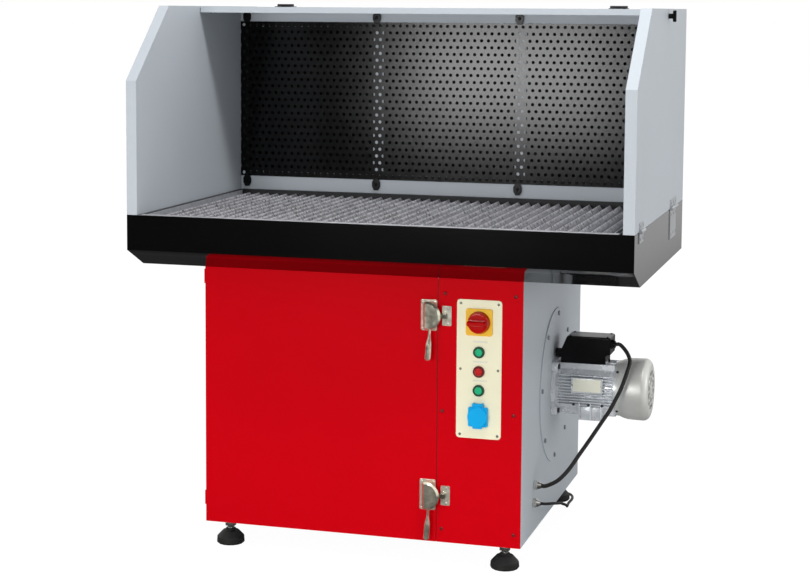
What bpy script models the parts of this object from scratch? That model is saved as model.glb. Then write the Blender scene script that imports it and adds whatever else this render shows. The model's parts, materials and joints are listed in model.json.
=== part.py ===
# Downdraft table: a filter cabinet on levelling feet, a suction tray with a corrugated
# grate, and a hood of two folding side wings, a perforated rear wall and a roof flap.
# Metres, +Z up, X to the right, Y away from the person who stands at the table.
# The origin is on the floor, in the middle of the table's width and depth.

import math

import bmesh
import bpy
from mathutils import Matrix, Vector

# Driving sizes of the whole table
TABLE_WIDTH = 1.300
TABLE_DEPTH = 0.870
WORK_HEIGHT = 0.880
HOOD_HEIGHT = 0.532

# Sheet thicknesses and clearances
SHEET = 0.002
THIN_SHEET = 0.0015
GAP = 0.0003
PLAY = 0.0008
OVERRUN = 0.010

# Cabinet
CABINET_WIDTH = 0.842
CABINET_DEPTH = 0.777
CABINET_SHIFT = -0.059
CABINET_SETBACK = 0.108
FLOOR_GAP = 0.067
FRAME_LIP = 0.025
CONTROL_WIDTH = 0.2175
SEAM = 0.0016
POST_WIDTH = 0.040

# Exhaust louvres in the cabinet's rear wall
LOUVRE_COUNT = 6
LOUVRE_WIDTH = 0.120
LOUVRE_PITCH = 0.019
LOUVRE_HEIGHT = 0.012
LOUVRE_RISE = 0.008
LOUVRE_SLOT = 0.006
LOUVRE_TOP_DROP = 0.075
LOUVRE_SIDE = 0.022

# Tray
TRAY_HEIGHT = 0.138
TRAY_FRONT_HEIGHT = 0.090
TRAY_CHAMFER_RUN = 0.100
GRATE_WIDTH = 1.206
GRATE_REAR_BORDER = 0.156
GRATE_FRONT_BORDER = 0.014
OUTLET_MARGIN = 0.034
DUCT_WIDTH = 1.160
DUCT_DEPTH = 0.100

# Grate frame and corrugated grate panels
FRAME_RIM = 0.009
FRAME_DROP = 0.034
FRAME_LEDGE = 0.020
CROSS_BAR = 0.030
GRATE_PANELS = 3
RIDGES_PER_PANEL = 14
RIDGE_HEIGHT = 0.025
RIDGE_FLAT = 0.003
CORRUGATION_SKIN = 0.0036
VALLEY_SLOTS = 1
SLOT_WIDTH = 0.003
SLOT_BRIDGE = 0.060
PANEL_PLAY = 0.001

# Rear plenum and perforated panels
WING_THICKNESS = 0.028
PLENUM_DEPTH = 0.137
PLENUM_SIDE_PLAY = 0.001
SILL_HEIGHT = 0.040
HEADER_HEIGHT = 0.0415
PANEL_LAP = 0.014
PERFORATED_PANELS = 3
HOLE_RADIUS = 0.015
HOLE_SIDES = 6
HOLE_COLUMNS = 4
HOLE_ROWS = 5
HOLE_PITCH = 0.084
PLENUM_TOP_DROP = 0.0015
JOINT_POST_WIDTH = 0.030
JOINT_POST_SHIFT = 0.0049

# Turn clips
CLIP_LENGTH = 0.037
CLIP_WIDTH = 0.024
CLIP_THICKNESS = 0.004
CLIP_OFFSET = 0.0135
CLIP_INSET = 0.0205
CLIP_SCREW_RADIUS = 0.0045
CLIP_SCREW_HEIGHT = 0.0025
CLIP_BOSS_RADIUS = 0.006
CLIP_END_STEPS = 3

# Side wings
WING_FRONT_HEIGHT = 0.342
WING_TOP_SETBACK = 0.212
WING_SKIN = 0.0015
WING_DRAIN_LENGTH = 0.200
WING_DRAIN_WIDTH = 0.010
WING_HINGE_FRONT = 0.094
WING_HINGE_REAR = 0.660

# Leaf hinges of the wings and the roof flap
BARREL_RADIUS = 0.0045
BARREL_SIDES = 8
PIN_RADIUS = 0.0018
LEAF_THICKNESS = 0.002
LEAF_SINK = 0.0010
LEAF_NECK = 0.0012
FRONT_HINGE_LENGTH = 0.060
FRONT_FIXED_LEAF = 0.028
FRONT_MOVING_LEAF = 0.021
REAR_HINGE_LENGTH = 0.110
REAR_FIXED_LEAF = 0.082
REAR_MOVING_LEAF = 0.024
ROOF_HINGE_LENGTH = 0.048
ROOF_LEAF = 0.026

# Wing lock knobs
KNOB_SETBACK = 0.505
KNOB_DROP = 0.019
KNOB_HUB_RADIUS = 0.007
KNOB_HUB_LENGTH = 0.011
KNOB_BAR_LENGTH = 0.030
KNOB_BAR_THICKNESS = 0.010
KNOB_BAR_DEPTH = 0.009
KNOB_STUD_RADIUS = 0.004

# Roof flap
ROOF_FRONT = 0.423
ROOF_LIP = 0.016
ROOF_SIDE_LIP = 0.008
ROOF_SIDE_PLAY = 0.0025
ROOF_REAR_PLAY = 0.0012
ROOF_HINGE_SPREAD = 0.966

# Door and its weld-on barrel hinges
FACE_SHEET = 0.002
DOOR_PAN_DEPTH = 0.018
DOOR_PAN_PLAY = 0.006
DOOR_PAN_HINGE_PLAY = 0.012
DOOR_EDGE_PLAY = 0.0010
HINGE_BARREL_RADIUS = 0.005
HINGE_BARREL_LENGTH = 0.074
HINGE_BARREL_END = 0.008
HINGE_PIN_RADIUS = 0.0028
HINGE_PIN_LENGTH = 0.030
HINGE_AXIS_SIDE = 0.0053
HINGE_AXIS_DEPTH = 0.030
HINGE_TAB = 0.006
HINGE_STRAP = 0.0022
HINGE_WEB = 0.004

# Lever latches across the door's seam
UPPER_LATCH_DROP = 0.234
LOWER_LATCH_HEIGHT = 0.188
LATCH_BASE_WIDTH = 0.0415
LATCH_BASE_HEIGHT = 0.079
LATCH_BASE_THICKNESS = 0.003
LATCH_BASE_BACK = 0.001
LATCH_HUB_SIDE = 0.0245
LATCH_POST_RADIUS = 0.005
LATCH_GUIDE_WIDTH = 0.010
LATCH_GUIDE_HEIGHT = 0.026
LATCH_GUIDE_BACK = 0.014
CAM_RADIUS = 0.036
CAM_FLAT_SIDE = 0.0085
CAM_THICKNESS = 0.012
CAM_SIDES = 20
CAM_RIM = 0.005
LEVER_LENGTH = 0.113
LEVER_SIDE = 0.0105
LEVER_NECK_RADIUS = 0.0035
LEVER_BULGE_RADIUS = 0.0075
LEVER_BULGE_DROP = 0.070
LEVER_GRIP_RADIUS = 0.0080
LEVER_GRIP_LENGTH = 0.033
LEVER_TILT = math.radians(3.6)
CLAW_THICKNESS = 0.003
CLAW_WIDTH = 0.012
CLAW_TIP = 0.003
CLAW_LIFT = 0.0085
CLAW_START = 0.008
KEEPER_WIDTH = 0.024
KEEPER_HEIGHT = 0.050
KEEPER_THICKNESS = 0.002
KEEPER_SIDE = 0.0115
KEEPER_LIP = 0.0025
KEEPER_LIP_SIDE = 0.007
KEEPER_LIP_HEIGHT = 0.022
HOOK_PLAY = 0.0005
HOOK_REST = 0.004

# Control cover and control plate
COVER_WINDOW_WIDTH = 0.096
COVER_WINDOW_HEIGHT = 0.326
CONTROL_PLATE_WIDTH = 0.115
CONTROL_PLATE_HEIGHT = 0.350
CONTROL_PLATE_DROP = 0.3645
CONTROL_PLATE_THICKNESS = 0.002
CONTROL_PLATE_CORNER = 0.008

# Main switch
SWITCH_RISE = 0.119
SWITCH_PLATE_SIZE = 0.068
SWITCH_PLATE_THICKNESS = 0.004
SWITCH_PLATE_CORNER = 0.006
SWITCH_KNOB_RADIUS = 0.0285
SWITCH_KNOB_HEIGHT = 0.016
SWITCH_GRIP_HEIGHT = 0.014
SWITCH_GRIP_WIDTH = 0.013
SWITCH_SPINDLE_RADIUS = 0.005
SWITCH_SPINDLE_LENGTH = 0.022

# Push buttons
BUTTON_RISES = (0.0435, -0.0055, -0.0530)
BEZEL_RADIUS = 0.01475
BEZEL_HEIGHT = 0.005
SLEEVE_RADIUS = 0.0110
SLEEVE_LENGTH = 0.020
SLEEVE_WALL = 0.0012
SLEEVE_FLOOR = 0.002
BUTTON_PROUD = 0.0008
BUTTON_LENGTH = 0.014
BUTTON_CHAMFER = 0.001

# Socket with a sprung lid
SOCKET_RISE = -0.119
SOCKET_WIDTH = 0.049
SOCKET_HEIGHT = 0.049
SOCKET_PROUD = 0.009
SOCKET_BODY_RADIUS = 0.021
SOCKET_BODY_DEPTH = 0.040
SOCKET_WELL_RADIUS = 0.0185
SOCKET_WELL_DEPTH = 0.030
SOCKET_EAR_WIDTH = 0.005
SOCKET_EAR_GAP = 0.017
SOCKET_HINGE_RISE = 0.0065
LID_RADIUS = 0.0255
LID_THICKNESS = 0.005
LID_BARREL_RADIUS = 0.004
LID_TAB_WIDTH = 0.024
LID_TAB_DROP = 0.0285

# Inner walls, filter cartridges and dust bin
TUBE_PLATE_SETBACK = 0.598
CLEAN_PORT_MARGIN = 0.030
CARTRIDGE_RADIUS = 0.135
CARTRIDGE_BORE = 0.085
CARTRIDGE_LENGTH = 0.540
CARTRIDGE_SPREAD = 0.311
CARTRIDGE_HEIGHT = 0.462
CARTRIDGE_PLEATS = 16
PLEAT_DEPTH = 0.030
PLEAT_WALL = 0.004
CARTRIDGE_CAP = 0.016
TIE_ROD_RADIUS = 0.006
FILTER_KNOB_RADIUS = 0.028
FILTER_KNOB_LENGTH = 0.018
BIN_WIDTH = 0.586
BIN_DEPTH = 0.500
BIN_HEIGHT = 0.130
BIN_SETBACK = 0.078
BIN_HANDLE_WIDTH = 0.140
BIN_HANDLE_REACH = 0.024
BIN_HANDLE_BAR = 0.008

# Levelling feet
FOOT_INSET = 0.050
STEM_RADIUS = 0.008
STEM_SIDES = 8
STEM_TOP = 0.030
STEM_NUT_RADIUS = 0.0145
STEM_NUT_HEIGHT = 0.009
STEM_GRIP_START = 0.046
PAD_RADIUS = 0.037
PAD_WAIST_RADIUS = 0.036
PAD_RIM_HEIGHT = 0.018
PAD_SHOULDER_RADIUS = 0.021
PAD_SHOULDER_HEIGHT = 0.034
PAD_HUB_RADIUS = 0.013
PAD_HUB_HEIGHT = 0.040
PAD_EDGE = 0.004

# Fan
FAN_SETBACK = 0.418
FAN_HEIGHT = 0.404
FAN_PLATE_RADIUS = 0.207
FAN_PLATE_THICKNESS = 0.003
FAN_HOLE_RADIUS = 0.176
FAN_BOLT_CIRCLE = 0.1914
FAN_BOLT_RADIUS = 0.003
FAN_BOLT_TURN = math.radians(5)
SCROLL_WIDTH = 0.145
SCROLL_START_RADIUS = 0.200
SCROLL_END_RADIUS = 0.268
SCROLL_STEPS = 14
SCROLL_INLET_RADIUS = 0.105
IMPELLER_RADIUS = 0.160
IMPELLER_EYE_RADIUS = 0.095
IMPELLER_WIDTH = 0.085
IMPELLER_BACK = 0.014
IMPELLER_BLADES = 8
BLADE_THICKNESS = 0.003
BLADE_INNER_RADIUS = 0.085
BLADE_SWEEP = math.radians(38)
SHAFT_RADIUS = 0.012

# Motor
FLANGE_RADIUS = 0.080
FLANGE_LENGTH = 0.0175
LUG_RADIUS = 0.013
LUG_CIRCLE = 0.083
LUG_LENGTH = 0.016
BODY_RADIUS = 0.066
FIN_RADIUS = 0.076
FIN_COUNT = 22
FIN_TOP_FREE = math.radians(46)
BODY_LENGTH = 0.1463
SHIELD_RADIUS = 0.0722
SHIELD_LENGTH = 0.012
PAD_TOP_RISE = 0.0735
TERMINAL_PAD_LENGTH = 0.112
TERMINAL_PAD_WIDTH = 0.064
COWL_MOUTH_RADIUS = 0.0740
COWL_RADIUS = 0.0825
COWL_LENGTH = 0.0852
COWL_OVERLAP = 0.005
COWL_WALL = 0.0015
COWL_ROUND = 0.018
COWL_SLOTS = 8
COWL_SLOT_WIDTH = 0.006
COOLING_FAN_RADIUS = 0.064
COOLING_FAN_WIDTH = 0.028
COOLING_FAN_BLADES = 6
TERMINAL_LENGTH = 0.1336
TERMINAL_WIDTH = 0.078
TERMINAL_SKIRT = 0.0145
TERMINAL_HEIGHT = 0.0806
TERMINAL_NOTCH_RUN = 0.0125
TERMINAL_NOTCH_RISE = 0.0329
TERMINAL_SLOPE_RUN = 0.0165
TERMINAL_SLOPE_SILL = 0.0413
TERMINAL_START = 0.0180
TERMINAL_EDGE = 0.004
BLANKING_PLUG_RADIUS = 0.0125
BLANKING_PLUG_LENGTH = 0.013
BLANKING_PLUG_PLACE = (0.046, 0.4965)

# Cable glands and cables
GLAND_NUT_RADIUS = 0.0125
GLAND_NUT_LENGTH = 0.007
GLAND_NOSE_RADIUS = 0.0100
GLAND_LENGTH = 0.020
BOX_GLAND_LENGTH = 0.012
CORD_END_PLAY = 0.0004
GLAND_THREAD_RADIUS = 0.008
GLAND_THREAD_LENGTH = 0.008
MOTOR_GLAND_SETBACK = 0.156
MOTOR_GLAND_HEIGHT = 0.191
MAINS_GLAND_SETBACK = 0.148
MAINS_GLAND_HEIGHT = 0.1465
BOX_GLAND_FORWARD = 0.024
BOX_GLAND_HEIGHT = 0.525
MOTOR_CABLE_DIAMETER = 0.0105
MAINS_CORD_DIAMETER = 0.0075
CORD_POINTS_PER_DIAMETER = 0.36
CURVE_STEPS = 24
COIL_RADIUS = 0.045
COIL_TURNS_PER_LAYER = 4
CLIMB_TURNS = 0.5
COIL_POINTS_PER_TURN = 24
COIL_TURN_PITCH = 0.0083
COIL_LAYER_PITCH = 0.0083
COIL_CENTRE = (0.060, 0.525)
COIL_FLOOR_PLAY = 0.0004
PLUG_LENGTH = 0.050
PLUG_RADIUS = 0.0185
PLUG_NECK_RADIUS = 0.0065
PLUG_NECK_LENGTH = 0.016
PLUG_PIN_LENGTH = 0.019
PLUG_PIN_RADIUS = 0.0024
PLUG_PIN_SPREAD = 0.019

# Places that follow from the sizes
FRONT = -(CABINET_SETBACK + CABINET_DEPTH + LOUVRE_RISE) / 2
TRAY_BOTTOM = WORK_HEIGHT - TRAY_HEIGHT
HOOD_TOP = WORK_HEIGHT + HOOD_HEIGHT
TABLE_LEFT = -TABLE_WIDTH / 2
TABLE_RIGHT = TABLE_WIDTH / 2
TABLE_REAR = FRONT + TABLE_DEPTH
WING_INNER = TABLE_RIGHT - WING_THICKNESS
CABINET_LEFT = CABINET_SHIFT - CABINET_WIDTH / 2
CABINET_RIGHT = CABINET_SHIFT + CABINET_WIDTH / 2
CABINET_FACE = FRONT + CABINET_SETBACK
CABINET_REAR = CABINET_FACE + CABINET_DEPTH
SHELL_FRONT = CABINET_FACE + FACE_SHEET + GAP
CABINET_TOP = TRAY_BOTTOM - GAP
LATCH_HEIGHTS = (WORK_HEIGHT - UPPER_LATCH_DROP, LOWER_LATCH_HEIGHT)
CONTROL_PLATE_CENTRE_HEIGHT = WORK_HEIGHT - CONTROL_PLATE_DROP
SEAM_X = CABINET_RIGHT - CONTROL_WIDTH
CONTROL_X = SEAM_X + CONTROL_WIDTH / 2 - SEAM
PARTITION_X = SEAM_X
GRATE_FRONT = FRONT + GRATE_FRONT_BORDER
GRATE_REAR = TABLE_REAR - GRATE_REAR_BORDER
PLENUM_TOP = HOOD_TOP - PLENUM_TOP_DROP
PLENUM_FACE = TABLE_REAR - PLENUM_DEPTH
PERFORATED_BOTTOM = WORK_HEIGHT + SILL_HEIGHT
PERFORATED_TOP = PLENUM_TOP - HEADER_HEIGHT
PLENUM_HALF = WING_INNER - PLENUM_SIDE_PLAY
PANEL_FACE = PLENUM_FACE - GAP - THIN_SHEET
STEM_HOLE_RADIUS = (STEM_RADIUS + GAP) / math.cos(math.pi / STEM_SIDES)
FAN_Y = CABINET_FACE + FAN_SETBACK
FAN_OUTER = CABINET_RIGHT + GAP + FAN_PLATE_THICKNESS
FLANGE_START = FAN_OUTER + GAP
BODY_START = FLANGE_START + FLANGE_LENGTH
SHIELD_START = BODY_START + BODY_LENGTH
COWL_START = SHIELD_START + SHIELD_LENGTH - COWL_OVERLAP
LATCH_HUB_X = SEAM_X - LATCH_HUB_SIDE
PLATE_FRONT = CABINET_FACE - GAP - CONTROL_PLATE_THICKNESS
TUBE_PLATE_Y = CABINET_FACE + TUBE_PLATE_SETBACK
DOOR_HINGE = Vector((CABINET_LEFT - HINGE_AXIS_SIDE, CABINET_FACE + HINGE_AXIS_DEPTH, 0))

# Colours, as red, green and blue, with roughness and metallic
RED_PAINT = ((0.62, 0.0, 0.008), 0.35, 0.0)
GREY_PAINT = ((0.52, 0.54, 0.56), 0.35, 0.0)
BLACK_PAINT = ((0.006, 0.006, 0.005), 0.18, 0.0)
PANEL_BLACK = ((0.010, 0.010, 0.011), 0.45, 0.0)
GALVANISED = ((0.55, 0.56, 0.57), 0.38, 1.0)
BRIGHT_STEEL = ((0.70, 0.68, 0.62), 0.22, 1.0)
DARK_STEEL = ((0.08, 0.08, 0.08), 0.45, 0.6)
CAST_ALUMINIUM = ((0.56, 0.57, 0.58), 0.42, 1.0)
COWL_PAINT = ((0.42, 0.43, 0.44), 0.40, 0.6)
BLACK_PLASTIC = ((0.010, 0.010, 0.010), 0.40, 0.0)
BLACK_RUBBER = ((0.014, 0.013, 0.012), 0.60, 0.0)
CREAM_PLASTIC = ((0.93, 0.86, 0.62), 0.40, 0.0)
YELLOW_PLASTIC = ((0.86, 0.52, 0.03), 0.35, 0.0)
RED_PLASTIC = ((0.45, 0.004, 0.004), 0.25, 0.0)
GREEN_PLASTIC = ((0.01, 0.32, 0.17), 0.30, 0.0)
BLUE_PLASTIC = ((0.0, 0.33, 0.80), 0.30, 0.0)
FILTER_MEDIA = ((0.80, 0.79, 0.74), 0.85, 0.0)

AXES = {"X": Vector((1, 0, 0)), "Y": Vector((0, 1, 0)), "Z": Vector((0, 0, 1))}


# Modelling helpers

def clear_scene():
    for item in list(bpy.data.objects):
        bpy.data.objects.remove(item, do_unlink=True)


def as_object(bm):
    bmesh.ops.recalc_face_normals(bm, faces=bm.faces)
    mesh = bpy.data.meshes.new("shape")
    bm.to_mesh(mesh)
    bm.free()
    item = bpy.data.objects.new("shape", mesh)
    bpy.context.collection.objects.link(item)
    return item


def block(x_span, y_span, z_span):
    bm = bmesh.new()
    corners = [bm.verts.new((x, y, z)) for x in x_span for y in y_span for z in z_span]
    for quad in ((0, 1, 3, 2), (4, 6, 7, 5), (0, 4, 5, 1), (2, 3, 7, 6), (0, 2, 6, 4), (1, 5, 7, 3)):
        bm.faces.new([corners[index] for index in quad])
    return as_object(bm)


def placed(axis, along, first, second):
    if axis == "X":
        return (along, first, second)
    if axis == "Y":
        return (first, along, second)
    return (first, second, along)


def prism(outline, axis, span):
    bm = bmesh.new()
    rings = []
    for along in span:
        rings.append([bm.verts.new(placed(axis, along, first, second)) for first, second in outline])
    bm.faces.new(rings[0])
    bm.faces.new(rings[1][::-1])
    for index in range(len(outline)):
        after = (index + 1) % len(outline)
        bm.faces.new((rings[0][index], rings[0][after], rings[1][after], rings[1][index]))
    return as_object(bm)


def circle(centre, radius, sides, start=0.0):
    step = 2 * math.pi / sides
    return [(centre[0] + radius * math.cos(start + step * index),
             centre[1] + radius * math.sin(start + step * index)) for index in range(sides)]


def lathe(profile, axis, centre, sides=16, closed=False):
    # profile holds (place along the axis, radius); a closed profile makes a ring with a bore
    bm = bmesh.new()
    rings = []
    for along, radius in profile:
        if radius == 0:
            rings.append([bm.verts.new(placed(axis, along, centre[0], centre[1]))])
        else:
            ring = circle(centre, radius, sides, math.pi / sides)
            rings.append([bm.verts.new(placed(axis, along, first, second)) for first, second in ring])
    pairs = list(zip(rings, rings[1:]))
    if closed:
        pairs.append((rings[-1], rings[0]))
    for low, high in pairs:
        for index in range(sides):
            after = (index + 1) % sides
            corners = [low[index % len(low)], low[after % len(low)], high[after % len(high)],
                       high[index % len(high)]]
            bm.faces.new(list(dict.fromkeys(corners)))
    if not closed:
        for ring in (rings[0], rings[-1]):
            if len(ring) > 1:
                bm.faces.new(ring)
    return as_object(bm)


def evaluate(item):
    graph = bpy.context.evaluated_depsgraph_get()
    mesh = bpy.data.meshes.new_from_object(item.evaluated_get(graph))
    item.modifiers.clear()
    item.data = mesh
    return item


def boolean(target, tools, operation):
    for tool in tools:
        modifier = target.modifiers.new(operation, "BOOLEAN")
        modifier.operation = operation
        modifier.solver = "EXACT"
        modifier.object = tool
    evaluate(target)
    for tool in tools:
        bpy.data.objects.remove(tool, do_unlink=True)
    return target


def cut(target, *tools):
    return boolean(target, tools, "DIFFERENCE")


def fuse(target, *others):
    return boolean(target, others, "UNION")


def together(items):
    # separate bodies of one piece, such as the copies in a set of fasteners
    bm = bmesh.new()
    for item in items:
        bm.from_mesh(item.data)
        bpy.data.objects.remove(item, do_unlink=True)
    return as_object(bm)


def soften(item, width, segments=1, angle=math.radians(40)):
    bevel = item.modifiers.new("edges", "BEVEL")
    bevel.width = width
    bevel.segments = segments
    bevel.limit_method = "ANGLE"
    bevel.angle_limit = angle
    return evaluate(item)


def moved(item, matrix):
    item.data.transform(matrix)
    if matrix.determinant() < 0:
        item.data.flip_normals()
    return item


def mirrored(item):
    copy = bpy.data.objects.new("shape", item.data.copy())
    bpy.context.collection.objects.link(copy)
    return moved(copy, Matrix.Scale(-1, 4, AXES["X"]))


def finish(item, name, look, origin=(0, 0, 0), smooth=False):
    place = Vector(origin)
    item.data.transform(Matrix.Translation(-place))
    item.location = place
    item.name = name
    item.data.name = name
    colour, roughness, metallic = look
    material = bpy.data.materials.new(name)
    material.use_nodes = True
    shader = material.node_tree.nodes["Principled BSDF"]
    shader.inputs["Base Color"].default_value = (*colour, 1.0)
    shader.inputs["Roughness"].default_value = roughness
    shader.inputs["Metallic"].default_value = metallic
    item.data.materials.clear()
    item.data.materials.append(material)
    if smooth:
        item.data.shade_smooth()
        item.data.set_sharp_from_angle(angle=math.radians(35))
    return item


def inset(outline, distance):
    # parallel inner outline of a convex outline that runs either way round
    area = sum(a[0] * b[1] - b[0] * a[1] for a, b in zip(outline, outline[1:] + outline[:1]))
    side = 1 if area > 0 else -1
    lines = []
    for start, end in zip(outline, outline[1:] + outline[:1]):
        run = Vector((end[0] - start[0], end[1] - start[1])).normalized()
        normal = Vector((-run.y, run.x)) * side
        lines.append((Vector(start) + normal * distance, run))
    points = []
    for (point_a, run_a), (point_b, run_b) in zip(lines[-1:] + lines[:-1], lines):
        cross = run_a.x * run_b.y - run_a.y * run_b.x
        offset = point_b - point_a
        reach = (offset.x * run_b.y - offset.y * run_b.x) / cross
        points.append(tuple(point_a + run_a * reach))
    return points


def rounded_rectangle(centre, width, height, corner, steps=2):
    points = []
    for quarter, (side_x, side_y) in enumerate(((1, 1), (-1, 1), (-1, -1), (1, -1))):
        middle = (centre[0] + side_x * (width / 2 - corner), centre[1] + side_y * (height / 2 - corner))
        for step in range(steps + 1):
            angle = math.pi / 2 * (quarter + step / steps)
            points.append((middle[0] + corner * math.cos(angle), middle[1] + corner * math.sin(angle)))
    return points


# Cabinet

def louvres():
    hoods = []
    slots = []
    left = CABINET_RIGHT - LOUVRE_SIDE - LOUVRE_WIDTH
    right = CABINET_RIGHT - LOUVRE_SIDE
    for index in range(LOUVRE_COUNT):
        top = CABINET_TOP - LOUVRE_TOP_DROP - index * LOUVRE_PITCH
        wall = CABINET_REAR - SHEET / 2
        outline = [(wall, top), (CABINET_REAR + LOUVRE_RISE, top - LOUVRE_HEIGHT),
                   (wall, top - LOUVRE_HEIGHT)]
        hoods.append(prism(outline, "X", (left, right)))
        slot_top = top - LOUVRE_HEIGHT + LOUVRE_SLOT
        slot = [(CABINET_REAR - SHEET - OVERRUN, slot_top), (CABINET_REAR + LOUVRE_SLOT / 2, slot_top),
                (CABINET_REAR + LOUVRE_SLOT / 2, top - LOUVRE_HEIGHT - SHEET / 2),
                (CABINET_REAR - SHEET - OVERRUN, top - LOUVRE_HEIGHT + SHEET / 2)]
        slots.append(prism(slot, "X", (left + SHEET, right - SHEET)))
    return hoods, slots


def foot_places():
    left = CABINET_LEFT + FOOT_INSET
    right = CABINET_RIGHT - FOOT_INSET
    near = CABINET_FACE + FOOT_INSET
    far = CABINET_REAR - FOOT_INSET
    return {"front_left": (left, near), "front_right": (right, near), "rear_left": (left, far),
            "rear_right": (right, far)}


def gland_places():
    # name of the cable, the wall's outside in X, and the hole's place in Y and Z
    box_end = FLANGE_START + TERMINAL_START + TERMINAL_LENGTH
    return {"motor": (CABINET_RIGHT, CABINET_FACE + MOTOR_GLAND_SETBACK, MOTOR_GLAND_HEIGHT),
            "mains": (CABINET_RIGHT, CABINET_FACE + MAINS_GLAND_SETBACK, MAINS_GLAND_HEIGHT),
            "box": (box_end, FAN_Y - BOX_GLAND_FORWARD, BOX_GLAND_HEIGHT)}


def gland_length(cable):
    return BOX_GLAND_LENGTH if cable == "box" else GLAND_LENGTH


def cabinet_shell():
    shell = block((CABINET_LEFT, CABINET_RIGHT), (SHELL_FRONT, CABINET_REAR), (FLOOR_GAP, CABINET_TOP))
    inside = block((CABINET_LEFT + SHEET, CABINET_RIGHT - SHEET),
                   (SHELL_FRONT + SHEET, CABINET_REAR - SHEET),
                   (FLOOR_GAP + SHEET, CABINET_TOP - SHEET))
    front = (SHELL_FRONT - OVERRUN, SHELL_FRONT + SHEET + OVERRUN)
    heights = (FLOOR_GAP + FRAME_LIP, CABINET_TOP - FRAME_LIP)
    door_hole = block((CABINET_LEFT + FRAME_LIP, SEAM_X - POST_WIDTH / 2), front, heights)
    cover_hole = block((SEAM_X + POST_WIDTH / 2, CABINET_RIGHT - FRAME_LIP), front, heights)
    top_hole = block((CABINET_LEFT + OUTLET_MARGIN, PARTITION_X - OUTLET_MARGIN),
                     (SHELL_FRONT + OUTLET_MARGIN, TABLE_REAR - OUTLET_MARGIN),
                     (CABINET_TOP - SHEET - OVERRUN, CABINET_TOP + OVERRUN))
    fan_hole = lathe([(CABINET_RIGHT - OVERRUN, FAN_HOLE_RADIUS),
                      (CABINET_RIGHT + OVERRUN, FAN_HOLE_RADIUS)],
                     "X", (FAN_Y, FAN_HEIGHT), 24)
    hoods, slots = louvres()
    tools = [inside, door_hole, cover_hole, top_hole, fan_hole]
    bolt_hole = FAN_BOLT_RADIUS + PLAY
    for place in fan_bolt_places():
        tools.append(lathe([(CABINET_RIGHT - OVERRUN, bolt_hole), (CABINET_RIGHT + OVERRUN, bolt_hole)],
                           "X", place, 6))
    for x, y in foot_places().values():
        tools.append(lathe([(FLOOR_GAP - OVERRUN, STEM_HOLE_RADIUS),
                            (FLOOR_GAP + OVERRUN, STEM_HOLE_RADIUS)], "Z", (x, y), STEM_SIDES))
    for cable in ("motor", "mains"):
        wall, y, z = gland_places()[cable]
        tools.append(lathe([(wall - OVERRUN, GLAND_THREAD_RADIUS + GAP),
                            (wall + OVERRUN, GLAND_THREAD_RADIUS + GAP)], "X", (y, z), 12))
    cut(shell, *tools)
    fuse(shell, *hoods, *weld_nuts(), *weld_barrels())
    cut(shell, *slots)
    return finish(shell, "cabinet_shell", GREY_PAINT)


def weld_nuts():
    low = FLOOR_GAP + SHEET / 2
    profile = [(low, STEM_HOLE_RADIUS), (low, STEM_NUT_RADIUS), (low + STEM_NUT_HEIGHT, STEM_NUT_RADIUS),
               (low + STEM_NUT_HEIGHT, STEM_HOLE_RADIUS)]
    return [lathe(profile, "Z", centre, STEM_SIDES, True) for centre in foot_places().values()]


def door_hinge_starts():
    return (FLOOR_GAP + HINGE_BARREL_END, CABINET_TOP - HINGE_BARREL_END - HINGE_BARREL_LENGTH)


def weld_barrels():
    # lower halves of the door's two lift-off hinges, with their pins, on webs of the cabinet's left side
    parts = []
    centre = (DOOR_HINGE.x, DOOR_HINGE.y)
    for start in door_hinge_starts():
        middle = start + HINGE_BARREL_LENGTH / 2
        parts.append(lathe([(start, HINGE_BARREL_RADIUS), (middle - PLAY, HINGE_BARREL_RADIUS),
                            (middle - PLAY, HINGE_PIN_RADIUS),
                            (middle + HINGE_PIN_LENGTH, HINGE_PIN_RADIUS)], "Z", centre, 8))
        parts.append(block((DOOR_HINGE.x, CABINET_LEFT + SHEET / 2),
                           (DOOR_HINGE.y, DOOR_HINGE.y + HINGE_WEB), (start, middle - PLAY)))
    return parts


def inner_walls():
    low = FLOOR_GAP + SHEET + GAP
    high = CABINET_TOP - SHEET - GAP
    rear = CABINET_REAR - SHEET - GAP
    partition = block((PARTITION_X, PARTITION_X + SHEET), (SHELL_FRONT + SHEET + GAP, rear), (low, high))
    port = block((PARTITION_X - OVERRUN, PARTITION_X + OVERRUN),
                 (TUBE_PLATE_Y + CLEAN_PORT_MARGIN, rear - CLEAN_PORT_MARGIN),
                 (low + CLEAN_PORT_MARGIN, high - CLEAN_PORT_MARGIN))
    cut(partition, port)
    plate = block((CABINET_LEFT + SHEET + GAP, PARTITION_X + SHEET / 2),
                  (TUBE_PLATE_Y, TUBE_PLATE_Y + SHEET), (low, high))
    holes = [lathe([(TUBE_PLATE_Y - OVERRUN, CARTRIDGE_BORE), (TUBE_PLATE_Y + OVERRUN, CARTRIDGE_BORE)],
                   "Y", centre, 20)
             for centre in cartridge_centres().values()]
    cut(plate, *holes)
    bridges = [block((x - TIE_ROD_RADIUS * 2, x + TIE_ROD_RADIUS * 2),
                     (TUBE_PLATE_Y + SHEET / 2, TUBE_PLATE_Y + SHEET * 2),
                     (z - CARTRIDGE_BORE - OVERRUN, z + CARTRIDGE_BORE + OVERRUN)) for x,
                     z in cartridge_centres().values()]
    fuse(partition, plate, *bridges)
    return finish(partition, "inner_walls", GREY_PAINT)


def cartridge_centres():
    middle = (CABINET_LEFT + PARTITION_X) / 2
    return {"left": (middle - CARTRIDGE_SPREAD / 2, CARTRIDGE_HEIGHT),
            "right": (middle + CARTRIDGE_SPREAD / 2, CARTRIDGE_HEIGHT)}


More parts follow.
